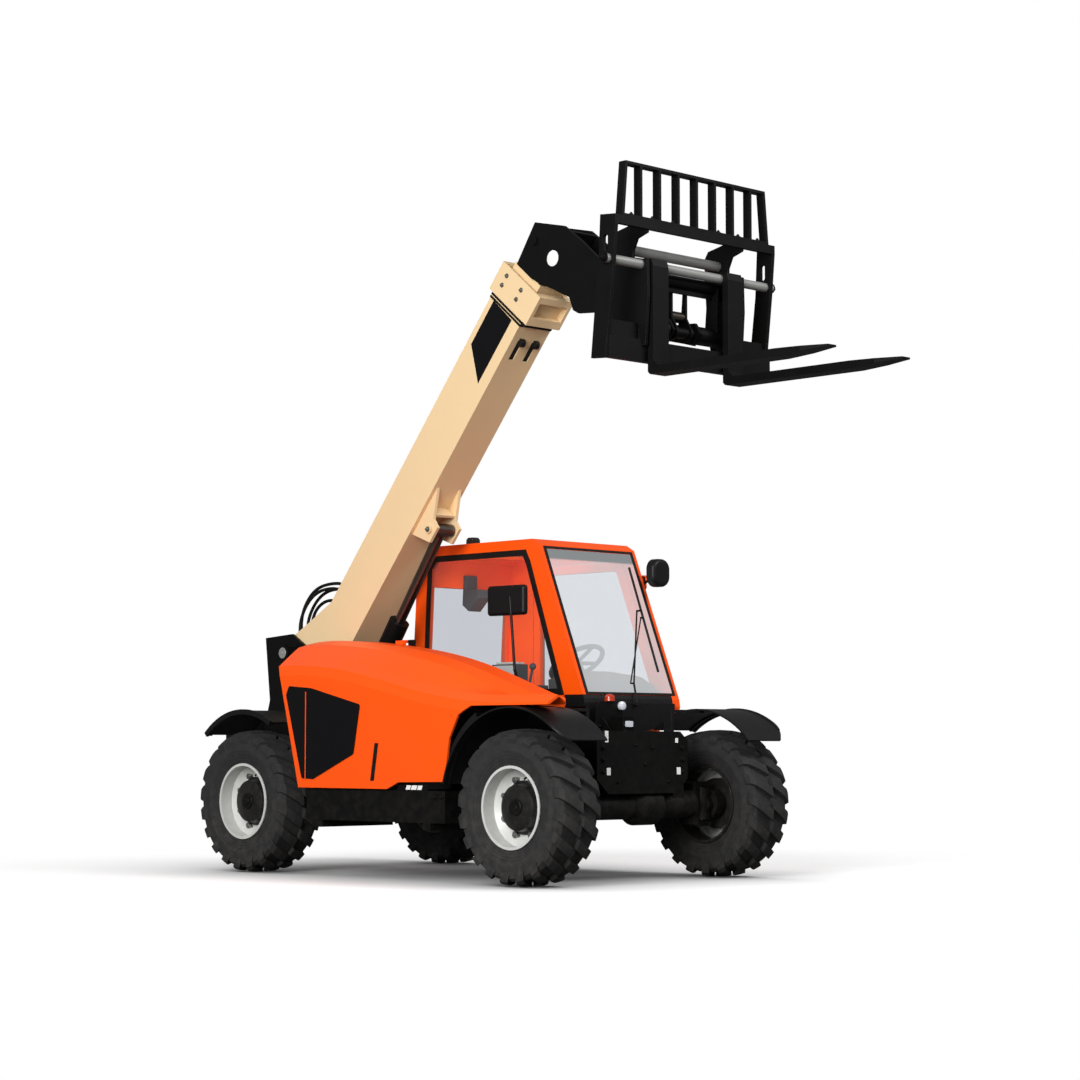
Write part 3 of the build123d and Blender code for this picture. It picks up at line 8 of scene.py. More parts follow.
# %% Load the frame
import json
import bpy
import bmesh
from math import cos, degrees, pi, radians, sin
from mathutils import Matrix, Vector


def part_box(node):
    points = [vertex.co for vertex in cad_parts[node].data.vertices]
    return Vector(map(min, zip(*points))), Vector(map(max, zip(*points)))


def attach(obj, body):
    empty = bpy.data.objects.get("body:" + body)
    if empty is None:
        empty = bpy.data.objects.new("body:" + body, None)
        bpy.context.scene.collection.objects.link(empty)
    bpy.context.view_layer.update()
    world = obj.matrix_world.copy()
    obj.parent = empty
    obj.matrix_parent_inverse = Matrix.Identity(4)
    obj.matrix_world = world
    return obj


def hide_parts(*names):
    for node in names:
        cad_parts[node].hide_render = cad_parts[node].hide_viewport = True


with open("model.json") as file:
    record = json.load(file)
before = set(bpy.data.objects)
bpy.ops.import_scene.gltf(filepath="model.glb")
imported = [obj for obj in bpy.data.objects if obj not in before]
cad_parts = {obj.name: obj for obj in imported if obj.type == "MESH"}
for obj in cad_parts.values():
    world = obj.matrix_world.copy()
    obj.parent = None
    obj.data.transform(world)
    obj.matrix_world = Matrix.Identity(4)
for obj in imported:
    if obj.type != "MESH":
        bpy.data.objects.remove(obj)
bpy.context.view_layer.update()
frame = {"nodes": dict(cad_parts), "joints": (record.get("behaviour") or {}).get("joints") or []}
NODES = frame["nodes"]
MM = 0.001

# %% [markdown]
# The camera stands at chest height in front of the machine's right corner and looks slightly up,
# with a long lens so that the near wheel isn't swollen. Blender's camera looks along its own -Z, so
# a quarter turn about X points it at the horizon, and the turn about Z gives its bearing.

# %% Camera
EYE = (10.4118, -10.2757, 0.7462)
BEARING = 0.7984
CLIMB = 0.0793
LENS_MM = 85.9

camera = bpy.data.objects.new("camera", bpy.data.cameras.new("camera"))
bpy.context.scene.collection.objects.link(camera)
camera.location = EYE
camera.rotation_euler = (pi / 2 + CLIMB, 0.0, BEARING)
camera.data.lens = LENS_MM
camera.data.sensor_width = 36.0
camera.data.clip_end = 200.0
bpy.context.scene.camera = camera
bpy.context.scene.view_settings.view_transform = "Standard"
print("camera bearing", round(degrees(BEARING), 2), "climb", round(degrees(CLIMB), 2), "degrees")

# %% [markdown]
# Every place below is written in the machine's own millimetres, as on its drawings: x forward from
# the rear axle, y to its left and z up from the ground. Places on the boom are written along it and
# square to it, from its pivot. These functions turn both into points of the frame, in metres, and
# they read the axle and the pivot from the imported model.

# %% Places on the machine, the boom and the carriage
def middle(node):
    """The centre of a CAD node's box."""
    low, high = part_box(node)
    return (Vector(low) + Vector(high)) / 2


REAR_AXLE = middle("rim_rear_right").x
FRONT_AXLE = middle("rim_front_right").x
HUB_HEIGHT = middle("rim_rear_right").z
WHEEL_Y = abs(middle("rim_rear_right").y)
JOINTS = {joint["name"]: joint for joint in frame["joints"]}
BOOM_PIVOT = Vector(JOINTS["boom_lift"]["pos_m"])
FORK_PIVOT = Vector(JOINTS["fork_tilt"]["pos_m"])
BOOM_ANGLE = radians(50.3)


def on_machine(x, y, z):
    """A place in the machine's millimetres as a point of the frame."""
    return Vector((REAR_AXLE + x * MM, y * MM, z * MM))


def on_boom(a, p, y):
    """A place along the boom and square to it, y across from the boom's middle plane."""
    x = a * cos(BOOM_ANGLE) - p * sin(BOOM_ANGLE)
    z = a * sin(BOOM_ANGLE) + p * cos(BOOM_ANGLE)
    return BOOM_PIVOT + Vector((x, y, z)) * MM


def on_carriage(x, y, z):
    """A place from the middle of the carriage's pivot pin."""
    return FORK_PIVOT + Vector((x, y, z)) * MM


print("axles", round(REAR_AXLE, 3), round(FRONT_AXLE, 3), "pivots", BOOM_PIVOT, FORK_PIVOT)

# %% [markdown]
# Every finish is built from nodes. One function turns a hex colour, as a paint chart gives it, into
# the linear numbers that Blender mixes with, and one adds a node with its settings, its values and
# its links, so that a recipe reads from top to bottom. Without them each recipe would be three
# times as long.

# %% Helpers for colour and nodes
def linear(code):
    """A hex colour from a paint chart, as linear RGBA."""
    parts = [int(code[i:i + 2], 16) / 255 for i in (1, 3, 5)]
    return [c / 12.92 if c <= 0.04045 else ((c + 0.055) / 1.055) ** 2.4 for c in parts] + [1.0]


def add(tree, kind, values=None, links=None, **settings):
    """Add one node, with its settings, its socket values and the links into it."""
    node = tree.nodes.new(kind)
    for name, value in settings.items():
        setattr(node, name, value)
    for name, value in (values or {}).items():
        node.inputs[name].default_value = value
    for name, source in (links or {}).items():
        tree.links.new(source, node.inputs[name])
    return node


def empty_material(name):
    """A material with a cleared node tree, and that tree."""
    material = bpy.data.materials.new(name)
    material.use_nodes = True
    material.node_tree.nodes.clear()
    return material, material.node_tree


print("mid grey is", round(linear("#808080")[0], 3), "in linear light")

# %% [markdown]
# Paint on a working machine is never one flat colour. Each painted finish starts from its chart
# colour, drifts a little over a hand's width, carries fine dust that settles low down, and wears
# to primer along its edges. An image could carry all that, but would stretch over the CAD shapes,
# so noise in the object's own coordinates does it. A Bevel node compared with the true normal
# finds the edges and also rounds them by a few millimetres, as a press or a weld does.

# %% One recipe for painted and moulded finishes
DUST_COLOUR = "#6E665A"
# sizes in metres of the cloud behind the drift, of a chip in an edge and of a patch of dust
DRIFT_SIZE, CHIP_SIZE, PATCH_SIZE = 0.12, 0.02, 0.05


def finish(name, colour, rough, metal=0.0, drift=0.06, grain_mm=0.6, grain_depth=0.02, round_mm=2.5,
           dust=0.25, dust_top=1.1, wear=0.0, wear_colour="#8C8C88", coat=0.0, gloss=0.5, extra=None):
    """A solid finish: colour drift, fine grain, dust that settles low down, and worn edges.

    extra adds to the recipe: it gets the tree, the place and the colour so far, and returns a
    colour and a height (or None).
    """
    material, tree = empty_material(name)
    place = add(tree, "ShaderNodeTexCoord").outputs["Object"]
    cloud = add(tree, "ShaderNodeTexNoise", {"Scale": 1 / DRIFT_SIZE, "Detail": 4.0}, {"Vector": place})
    spread = add(tree, "ShaderNodeMapRange", {"To Min": 1 - drift, "To Max": 1 + drift},
                 {"Value": cloud.outputs["Fac"]})
    base = add(tree, "ShaderNodeMix", {"Factor": 1.0, "A": linear(colour)},
               {"B": spread.outputs["Result"]}, data_type="RGBA", blend_type="MULTIPLY")
    surface = base.outputs["Result"]
    form = None
    if extra:
        surface, form = extra(tree, place, surface)
    roughness = add(tree, "ShaderNodeMapRange", {"To Min": rough * 0.85, "To Max": min(1, rough * 1.2)},
                    {"Value": cloud.outputs["Fac"]}).outputs["Result"]
    normal = add(tree, "ShaderNodeBevel", {"Radius": round_mm * MM}, samples=4).outputs["Normal"]
    if wear:
        true = add(tree, "ShaderNodeNewGeometry").outputs["Normal"]
        match = add(tree, "ShaderNodeVectorMath", None, {0: normal, 1: true}, operation="DOT_PRODUCT")
        chips = add(tree, "ShaderNodeTexNoise", {"Scale": 1 / CHIP_SIZE, "Detail": 6.0}, {"Vector": place})
        edge = add(tree, "ShaderNodeMath", None, {0: match.outputs["Value"], 1: chips.outputs["Fac"]},
                   operation="ADD")
        mask = add(tree, "ShaderNodeMapRange", {"From Min": 1.25, "From Max": 1.05, "To Max": wear},
                   {"Value": edge.outputs["Value"]})
        worn = add(tree, "ShaderNodeMix", {"B": linear(wear_colour)},
                   {"Factor": mask.outputs["Result"], "A": surface}, data_type="RGBA")
        surface = worn.outputs["Result"]
    if dust:
        height = add(tree, "ShaderNodeSeparateXYZ", None, {0: place}).outputs["Z"]
        low = add(tree, "ShaderNodeMapRange", {"From Min": dust_top, "From Max": 0.0, "To Max": 1.0},
                  {"Value": height})
        patch = add(tree, "ShaderNodeTexNoise",
                    {"Scale": 1 / PATCH_SIZE, "Detail": 8.0, "Roughness": 0.65}, {"Vector": place})
        thick = add(tree, "ShaderNodeMapRange", {"From Min": 0.42, "From Max": 0.72, "To Max": dust},
                    {"Value": patch.outputs["Fac"]})
        veil = add(tree, "ShaderNodeMath", None, {0: low.outputs["Result"], 1: thick.outputs["Result"]},
                   operation="MULTIPLY")
        dusty = add(tree, "ShaderNodeMix", {"B": linear(DUST_COLOUR)},
                    {"Factor": veil.outputs["Value"], "A": surface}, data_type="RGBA")
        surface = dusty.outputs["Result"]
    if form is not None:
        normal = add(tree, "ShaderNodeBump", {"Strength": 0.8, "Distance": 3 * MM},
                     {"Height": form, "Normal": normal}).outputs["Normal"]
    fine = add(tree, "ShaderNodeTexNoise", {"Scale": 1 / (grain_mm * MM), "Detail": 2.0}, {"Vector": place})
    bump = add(tree, "ShaderNodeBump", {"Strength": 0.4, "Distance": grain_depth * MM},
               {"Height": fine.outputs["Fac"], "Normal": normal})
    shader = add(tree, "ShaderNodeBsdfPrincipled",
                 {"Metallic": metal, "Coat Weight": coat, "Coat Roughness": 0.08,
                  "Specular IOR Level": gloss},
                 {"Base Color": surface, "Roughness": roughness, "Normal": bump.outputs["Normal"]})
    add(tree, "ShaderNodeOutputMaterial", None, {"Surface": shader.outputs["BSDF"]})
    print(name, colour)
    return material


# %% [markdown]
# A wheel's finish changes with its radius: the hub is black inside the silver disc, and the tyre's
# side wall has moulded rings. The rim's inner half, towards the machine, is darkened as painted
# shade. Both axles share one formula, because the distance from the plane half-way between them,
# less half the wheelbase, is the same for a front and a rear wheel.

# %% Recipes for the rims and tyres
HUB_EDGE = (0.1430, 0.1445)
RING_PITCH = 0.017
RIM_GUARD = (0.292, 0.286)


def wheel_radius(tree, place):
    """Radius from the nearest axle, and the distance from the machine's middle plane, in metres."""
    split = add(tree, "ShaderNodeSeparateXYZ", None, {0: place}).outputs
    half_way = (FRONT_AXLE + REAR_AXLE) / 2
    offset = add(tree, "ShaderNodeMath", {1: half_way}, {0: split["X"]}, operation="SUBTRACT")
    away = add(tree, "ShaderNodeMath", None, {0: offset.outputs[0]}, operation="ABSOLUTE")
    along = add(tree, "ShaderNodeMath", {1: (FRONT_AXLE - REAR_AXLE) / 2}, {0: away.outputs[0]},
                operation="SUBTRACT")
    up = add(tree, "ShaderNodeMath", {1: HUB_HEIGHT}, {0: split["Z"]}, operation="SUBTRACT")
    flat = add(tree, "ShaderNodeCombineXYZ", None, {"X": along.outputs[0], "Y": up.outputs[0]})
    radius = add(tree, "ShaderNodeVectorMath", None, {0: flat.outputs[0]}, operation="LENGTH")
    side = add(tree, "ShaderNodeMath", None, {0: split["Y"]}, operation="ABSOLUTE")
    return radius.outputs["Value"], side.outputs[0]


def black_hub_and_inner_shade(tree, place, surface):
    """Black hub inside a silver rim, and painted shade darkening the rim's inner half."""
    radius, side = wheel_radius(tree, place)
    edge = add(tree, "ShaderNodeMapRange", {"From Min": HUB_EDGE[0], "From Max": HUB_EDGE[1]},
               {"Value": radius})
    hub = add(tree, "ShaderNodeMix", {"A": linear("#0E0E0E")},
              {"Factor": edge.outputs["Result"], "B": surface}, data_type="RGBA")
    # painted shade: the rim's inner half, towards the machine, turns nearly black
    inside = add(tree, "ShaderNodeMapRange", {"From Min": WHEEL_Y - 0.02, "From Max": WHEEL_Y + 0.01},
                 {"Value": side})
    shade = add(tree, "ShaderNodeMix", {"A": linear("#1E1D1B")},
                {"Factor": inside.outputs["Result"], "B": hub.outputs["Result"]}, data_type="RGBA")
    return shade.outputs["Result"], None


def wall_rings(tree, place, surface):
    """Moulded rings and a rim guard on the tyre's side wall."""
    radius, _ = wheel_radius(tree, place)
    ring = add(tree, "ShaderNodeMath", {1: 2 * pi / RING_PITCH}, {0: radius}, operation="MULTIPLY")
    wave = add(tree, "ShaderNodeMath", None, {0: ring.outputs[0]}, operation="SINE")
    crest = add(tree, "ShaderNodeMapRange", {"From Min": 0.55, "From Max": 0.95}, {"Value": wave.outputs[0]})
    inner = add(tree, "ShaderNodeMapRange", {"From Min": RIM_GUARD[0], "From Max": RIM_GUARD[1]},
                {"Value": radius})
    rings = add(tree, "ShaderNodeMath", None, {0: crest.outputs["Result"], 1: inner.outputs["Result"]},
                operation="MULTIPLY")
    return surface, rings.outputs[0]


print("black hub to", HUB_EDGE[1], "m, a ring every", RING_PITCH, "m")

# %% [markdown]
# The paints. Two-pack gloss is sprayed in an even coat, satin coats spread the highlight, and a
# casting keeps the grain of its sand mould under the paint. Real orange peel is finer than shows
# from here, so the grain is drawn at 2.5 to 3 mm.

# %% Paints
# an even, clean orange with one broad highlight
ORANGE_GLOSS = finish("two_pack_gloss_orange", "#FF5608", 0.34, drift=0.02, grain_mm=3, dust=0.08, gloss=0.22)
# a warm, quiet surface, a little brown where its edges rub
CREAM_SATIN = finish("two_pack_satin_cream", "#EBCDA0", 0.5, drift=0.02, grain_mm=3, dust=0.0, wear=0.15,
                     gloss=0.15, wear_colour="#A08C6C")
# nearly black, greyer along the edges of plates
BLACK_SATIN = finish("satin_black_chassis_paint", "#0B0B0B", 0.45, drift=0.2, wear=0.08,
                     wear_colour="#4A4A48", dust=0.08, gloss=0.15)
# rough and dull, with soft edges and dust in its grain
BLACK_CAST = finish("painted_black_casting", "#0D0D0D", 0.5, drift=0.25, grain_mm=2.5, grain_depth=0.25,
                    round_mm=5, dust=0.15, gloss=0.2)

# %% [markdown]
# Plastics, rubber and films. A moulding takes the fine texture of its mould, which breaks the
# highlight up, while a vinyl film is smoother than the paint it is stuck on and so stands out.

# %% Plastics, rubber and films
# faintly shiny plastic with an even texture
BLACK_MOULDED = finish("textured_black_polypropylene", "#0E0E0F", 0.45, grain_mm=1.2, grain_depth=0.15,
                       dust=0.08, gloss=0.3)
# matt and soft
BLACK_RUBBER = finish("extruded_black_rubber", "#0A0A0A", 0.6, grain_mm=1.0, grain_depth=0.05, dust=0.0,
                      gloss=0.3)
# smooth, with a sharper highlight than the paint round it
BLACK_GLOSS = finish("gloss_black_vinyl_film", "#060609", 0.3, drift=0.02, grain_depth=0.0, dust=0.0,
                     gloss=0.3, round_mm=0.4)
# clean and flat
WHITE_FILM = finish("white_vinyl_film", "#F0F0EE", 0.5, drift=0.02, dust=0.0, round_mm=0.4)
# the cab's grey lining and its pale control box, both leather-grained
CAB_TRIM = finish("grained_grey_abs", "#3E4042", 0.5, grain_mm=1.5, grain_depth=0.1, dust=0.0)
LIGHT_TRIM = finish("grained_light_grey_abs", "#D8D8D4", 0.5, grain_mm=1.5, grain_depth=0.1, dust=0.0)
# upholstery with a coarse grain and a soft sheen
SEAT_VINYL = finish("grained_black_vinyl", "#161617", 0.5, grain_mm=2.0, grain_depth=0.2, round_mm=1, dust=0.0)

# %% [markdown]
# Wheels and metals. Enamel is paint, so it hardly mirrors, while zinc, chrome and turned steel are
# bare metal and take their brightness from what stands round them.

# %% Wheels and metals
# pale silver, dusty and black inside the hub, with painted shade on its inner half
RIM_SILVER = finish("silver_wheel_enamel", "#D2D3CF", 0.38, metal=0.1, grain_mm=2, dust=0.18, dust_top=1.4,
                    extra=black_hub_and_inner_shade)
# dull silver with small dark reflections
NUT_ZINC = finish("zinc_plated_steel", "#8E8F8C", 0.35, metal=0.9, grain_mm=1.0, dust=0.2, round_mm=0.8)
# dark grey, dusty, with rings on its wall
TYRE_RUBBER = finish("moulded_tyre_rubber", "#282829", 0.75, drift=0.12, grain_mm=1.5, grain_depth=0.2,
                     dust=0.22, gloss=0.3, extra=wall_rings)
# a dark, brownish mirror
ROD_CHROME = finish("ground_hard_chrome", "#6E6660", 0.30, metal=1.0, drift=0.02, dust=0.0, grain_mm=0.8)
# bright grey with a soft streak of light
SHAFT_STEEL = finish("turned_mild_steel", "#9C9C99", 0.40, metal=0.3, drift=0.08, dust=0.0)
# flat grey paint over rough iron
ENGINE_IRON = finish("painted_engine_iron", "#3A3C3E", 0.5, grain_mm=3, grain_depth=0.3)

# %% [markdown]
# Lenses and mirrors. A lens this small shows its colour and one sharp highlight, so a clear coat
# over a coloured body does for it, and nothing has to be seen through it.

# %% Lenses and mirror glass
# deep orange, smoke, clear and red plastic, each with a bright spot of light
AMBER_LENS = finish("amber_polycarbonate", "#B83208", 0.25, drift=0.02, dust=0.0, coat=0.5)
SMOKED_LENS = finish("smoked_polycarbonate", "#232325", 0.2, drift=0.02, dust=0.0, coat=0.5)
CLEAR_LENS = finish("ribbed_clear_lens", "#D9DDE4", 0.2, drift=0.02, dust=0.0, coat=0.6)
RED_LENS = finish("red_lamp_lens", "#9C0F0B", 0.2, drift=0.02, dust=0.0, coat=0.6)
# a true mirror
MIRROR_SILVER = finish("silvered_mirror_glass", "#C9CDD0", 0.03, metal=1.0, drift=0.0, dust=0.0, round_mm=0.5)

# %% [markdown]
# Safety glass lets most light through, mirrors a little and carries a pale film of dust. A refracting
# shader would darken with each pane behind another, so this one mixes a clear hole, a smooth
# surface and a faint glow, a painted reflection of the sky together with the dust. Shadow rays pass
# almost clear, so that light reaches the seat.

# %% Glass
# foot of the windshield's grey strip, in metres above the ground
SCREEN_BAND = 1.818
# colour of the glow on the panes: a painted reflection of the sky together with a film of dust
SKY_AND_DUST_WHITE = "#F3F6F8"
# size in metres of the faint smears on a pane
SMEAR_SIZE = 0.25


def glass(name, tint_colour, clear, veil, band=None):
    """Thin safety glass: clear is the share let through, veil the share of glow in the rest.
    The glow paints the sky's reflection together with a film of dust.

    band is the height at which a grey strip starts, or None.
    """
    material, tree = empty_material(name)
    pane = add(tree, "ShaderNodeBsdfPrincipled", {"Base Color": linear("#39443F"), "Roughness": 0.02})
    # a glow, not a lamp: the painted reflection of the sky together with a film of dust
    sky_and_dust_glow = add(tree, "ShaderNodeEmission", {"Color": linear(SKY_AND_DUST_WHITE), "Strength": 1.0})
    shadow_ray = add(tree, "ShaderNodeLightPath").outputs["Is Shadow Ray"]
    tint = add(tree, "ShaderNodeMix", {"A": linear(tint_colour), "B": linear("#FCFCFC")},
               {"Factor": shadow_ray}, data_type="RGBA")
    hole = add(tree, "ShaderNodeBsdfTransparent", None, {"Color": tint.outputs["Result"]})
    share = add(tree, "ShaderNodeMixShader", {0: veil}, {1: pane.outputs["BSDF"], 2: sky_and_dust_glow.outputs["Emission"]})
    place = add(tree, "ShaderNodeTexCoord").outputs["Object"]
    smear = add(tree, "ShaderNodeTexNoise", {"Scale": 1 / SMEAR_SIZE, "Detail": 3.0}, {"Vector": place})
    solid = add(tree, "ShaderNodeMapRange", {"To Min": (1 - clear) * 0.85, "To Max": (1 - clear) * 1.15},
                {"Value": smear.outputs["Fac"]}).outputs["Result"]
    if band:
        height = add(tree, "ShaderNodeSeparateXYZ", None, {0: place}).outputs["Z"]
        above = add(tree, "ShaderNodeMapRange",
                    {"From Min": band - 0.004, "From Max": band + 0.004, "To Max": 0.9},
                    {"Value": height}).outputs["Result"]
        solid = add(tree, "ShaderNodeMath", None, {0: solid, 1: above}, operation="MAXIMUM").outputs[0]
        strip = add(tree, "ShaderNodeMix", {"A": linear(SKY_AND_DUST_WHITE), "B": linear("#7E8486")},
                    {"Factor": above}, data_type="RGBA")
        tree.links.new(strip.outputs["Result"], sky_and_dust_glow.inputs["Color"])
    mixed = add(tree, "ShaderNodeMixShader", None,
                {0: solid, 1: hole.outputs["BSDF"], 2: share.outputs["Shader"]})
    add(tree, "ShaderNodeOutputMaterial", None, {"Surface": mixed.outputs["Shader"]})
    return material


# the windshield is milky with more glow (painted sky reflection and dust), the cab's other panes nearly clear
SCREEN_GLASS = glass("laminated_windshield_glass", "#F6F7F9", 0.62, 0.87, SCREEN_BAND)
CAB_GLASS = glass("clear_safety_glass", "#F0F1F3", 0.97, 0.55)
print("finishes", len(bpy.data.materials))

# %% [markdown]
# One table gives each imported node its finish, which is easier to read and to change than a line
# of code for each. A name that ends in an underscore stands for every node that begins with it.

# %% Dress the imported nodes
# node name (or its start), finish
DRESS = (
    ("cab_frame", ORANGE_GLOSS), ("cab_door", ORANGE_GLOSS), ("engine_hood", ORANGE_GLOSS),
    ("outer_boom", CREAM_SATIN), ("inner_boom", CREAM_SATIN),
    ("frame", BLACK_SATIN), ("front_panel", BLACK_SATIN), ("boom_tower", BLACK_SATIN),
    ("engine_tray", BLACK_SATIN), ("engine_bay_wall", BLACK_SATIN), ("front_deck", BLACK_SATIN),
    ("hood_side_panel", BLACK_GLOSS), ("boom_head", BLACK_SATIN), ("lift_cylinder_barrel", BLACK_SATIN),
    ("tilt_cylinder_barrel", BLACK_SATIN), ("fork_carriage", BLACK_SATIN), ("load_backrest", BLACK_SATIN),
    ("fork_right", BLACK_SATIN), ("fork_left", BLACK_SATIN), ("front_steering_rod", BLACK_SATIN),
    ("rear_steering_rod", BLACK_SATIN), ("front_axle", BLACK_CAST), ("rear_axle", BLACK_CAST),
    ("counterweight", BLACK_CAST), ("knuckle_", BLACK_CAST), ("fenders", BLACK_MOULDED),
    ("left_tank", BLACK_MOULDED), ("mirrors", BLACK_MOULDED), ("cab_cowl", BLACK_MOULDED),
    ("wiper", BLACK_RUBBER), ("window_seals", BLACK_RUBBER), ("front_lamps", AMBER_LENS),
    ("boom_hoses", BLACK_RUBBER), ("steering_wheel", CAB_TRIM), ("cab_interior", CAB_TRIM),
    ("seat", SEAT_VINYL), ("work_lamps", SMOKED_LENS), ("rim_", RIM_SILVER), ("tyre_", TYRE_RUBBER),
    ("lift_cylinder_rod", ROD_CHROME), ("tilt_cylinder_rod", ROD_CHROME), ("fork_shaft", SHAFT_STEEL),
    ("engine_block", ENGINE_IRON), ("windshield", SCREEN_GLASS), ("door_glass", CAB_GLASS),
    ("cab_glass", CAB_GLASS),
)
dressed = set()
for start, material in DRESS:
    for name, node in NODES.items():
        if name == start or (start.endswith("_") and name.startswith(start)):
            node.data.materials.clear()
            node.data.materials.append(material)
            dressed.add(name)
print(len(dressed), "nodes dressed, left plain:", sorted(set(NODES) - dressed))

# %% [markdown]
# Four hydraulic hoses loop from the boom's pivot into its top. A mesh tube would need a ring for
# every bend, so each is a NURBS curve through a short list of points, with a round bevel for its
# skin. The order and the end-point switch are set after the points are added, because they depend
# on how many there are.

# %% Hoses
HOSE_RADIUS = 10.0
BOOM_TOP = -130.7
OUTER_LOOP = ((38.3, 65.2), (74, 126), (165, 190), (280, 203), (385, 172), (478, 92), (560, -16),
              (560, BOOM_TOP))
MIDDLE_LOOP = ((49.0, 57.6), (92, 108), (170, 152), (280, 160), (378, 130), (462, 60), (532, -36),
               (532, BOOM_TOP))
INNER_LOOP = ((50.0, 56.8), (110, 125), (225, 165), (345, 110), (410, -10), (410, BOOM_TOP))
# name, points along and square to the boom, place across it
HOSES = (
    ("outer_hose", OUTER_LOOP, 22.0),
    ("right_hose", MIDDLE_LOOP, -10.0),
    ("left_hose", MIDDLE_LOOP, 50.0),
    ("inner_hose", INNER_LOOP, 82.0),
)


def lay_hose(name, loop, across):
    """One hose as a NURBS curve, riding on the boom."""
    curve = bpy.data.curves.new(name, "CURVE")
    curve.dimensions = "3D"
    curve.resolution_u = 12
    curve.bevel_depth = HOSE_RADIUS * MM
    curve.bevel_resolution = 4
    curve.use_fill_caps = True
    spline = curve.splines.new("NURBS")
    spline.points.add(len(loop) - 1)
    for knot, (a, p) in zip(spline.points, loop):
        knot.co = (*on_boom(a, p, across), 1.0)
    spline.order_u = 3
    spline.use_endpoint_u = True
    curve.materials.append(BLACK_RUBBER)
    hose = bpy.data.objects.new(name, curve)
    bpy.context.scene.collection.objects.link(hose)
    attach(hose, "boom")
    return hose, spline.calc_length()


hoses = []
for name, loop, across in HOSES:
    hose, length = lay_hose(name, loop, across)
    hoses.append(hose)
    print(name, "length", round(length, 3))
for hose in hoses:
    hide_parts("boom_hoses")

# %% [markdown]
# Small pieces are drawn into an empty mesh (a `bmesh`), which is quicker and more exact than adding
# primitives and moving them. First the flat shapes: a plate is a ring of points pushed along.

# %% Plates and blocks
RIGHT, LEFT, FRONT, BACK, UP = (0, -1, 0), (0, 1, 0), (1, 0, 0), (-1, 0, 0), (0, 0, 1)
CORNER_STEPS = 5


def slab(sketch, ring, push):
    """A plate: a ring of points, and the vector from its first face to its second."""
    push = Vector(push)
    first = [sketch.verts.new(p) for p in ring]
    second = [sketch.verts.new(Vector(p) + push) for p in ring]
    sketch.faces.new(first)
    sketch.faces.new(second[::-1])
    for i in range(len(ring)):
        j = (i + 1) % len(ring)
        sketch.faces.new((first[j], first[i], second[i], second[j]))


def rounded(centre, u, v, width, height, radius):
    """A ring of points: a rectangle with rounded corners, u across and v up."""
    u, v = Vector(u).normalized(), Vector(v).normalized()
    ring = []
    for sx, sy, start in ((1, 1, 0), (-1, 1, pi / 2), (-1, -1, pi), (1, -1, 3 * pi / 2)):
        for k in range(CORNER_STEPS + 1):
            t = start + k * pi / 2 / CORNER_STEPS
            x = sx * (width / 2 - radius) + radius * cos(t)
            y = sy * (height / 2 - radius) + radius * sin(t)
            ring.append(Vector(centre) + (u * x + v * y) * MM)
    return ring


def block(sketch, low, high):
    """A square block between two points."""
    (x0, y0, z0), (x1, y1, z1) = low, high
    slab(sketch, [(x0, y0, z0), (x1, y0, z0), (x1, y1, z0), (x0, y1, z0)], (0, 0, z1 - z0))


print("a rounded corner has", CORNER_STEPS + 1, "points")

# %% [markdown]
# Then the round shapes. A lathe turns a short list of radii about an axis, as a real lathe does, and
# closes both ends with a flat face, so that every piece stays a solid.

# %% Turned shapes
def across_axis(axis):
    """Two directions square to an axis and to each other."""
    axis = Vector(axis).normalized()
    helper = Vector(UP) if abs(axis.z) < 0.9 else Vector(FRONT)
    u = axis.cross(helper).normalized()
    return u, axis.cross(u)


def lathe(sketch, start, axis, profile, sides=32):
    """A turned solid: profile is (along the axis, radius) in millimetres, from one end to the other."""
    axis = Vector(axis).normalized()
    u, v = across_axis(axis)
    turn = [2 * pi * i / sides for i in range(sides)]
    rings = []
    for h, r in profile:
        rings.append([sketch.verts.new(Vector(start) + axis * h * MM + (u * cos(t) + v * sin(t)) * r * MM)
                      for t in turn])
    sketch.faces.new(rings[0])
    sketch.faces.new(rings[-1][::-1])
    for a, b in zip(rings, rings[1:]):
        for i in range(sides):
            j = (i + 1) % sides
            sketch.faces.new((a[j], a[i], b[i], b[j]))


def bar(sketch, start, end, radius, sides):
    """A round bar between two points."""
    run = Vector(end) - Vector(start)
    lathe(sketch, start, run, ((0, radius), (run.length / MM, radius)), sides)


print("axes square to up:", *across_axis(UP))

# %% [markdown]
# `piece` turns the faces outwards, breaks the sharp edges and puts the piece on its body. Its mesh
# holds its place, so the object itself stays at the origin, as a CAD node's does.

# %% From a sketch to a piece on its body
# an edge bent by more radians than this is bevelled, and one bent by less than 35 degrees is smooth
SHARP = 0.6
SMOOTH_BELOW = radians(35)


def piece(name, body, material, draw, edge_mm=0.0):
    """One piece: draw fills an empty sketch, which gets outward normals, soft edges, a finish and a body."""
    sketch = bmesh.new()
    draw(sketch)
    bmesh.ops.recalc_face_normals(sketch, faces=sketch.faces)
    if edge_mm:
        sharp = [e for e in sketch.edges if e.calc_face_angle(0.0) > SHARP]
        bmesh.ops.bevel(sketch, geom=sharp, offset=edge_mm * MM, segments=2, affect="EDGES",
                        clamp_overlap=True)
    mesh = bpy.data.meshes.new(name)
    sketch.to_mesh(mesh)
    sketch.free()
    mesh.materials.append(material)
    mesh.polygons.foreach_set("use_smooth", [True] * len(mesh.polygons))
    mesh.set_sharp_from_angle(angle=SMOOTH_BELOW)
    obj = bpy.data.objects.new(name, mesh)
    bpy.context.scene.collection.objects.link(obj)
    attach(obj, body)
    print(name, "on", body, "with", len(mesh.polygons), "faces")
    return obj


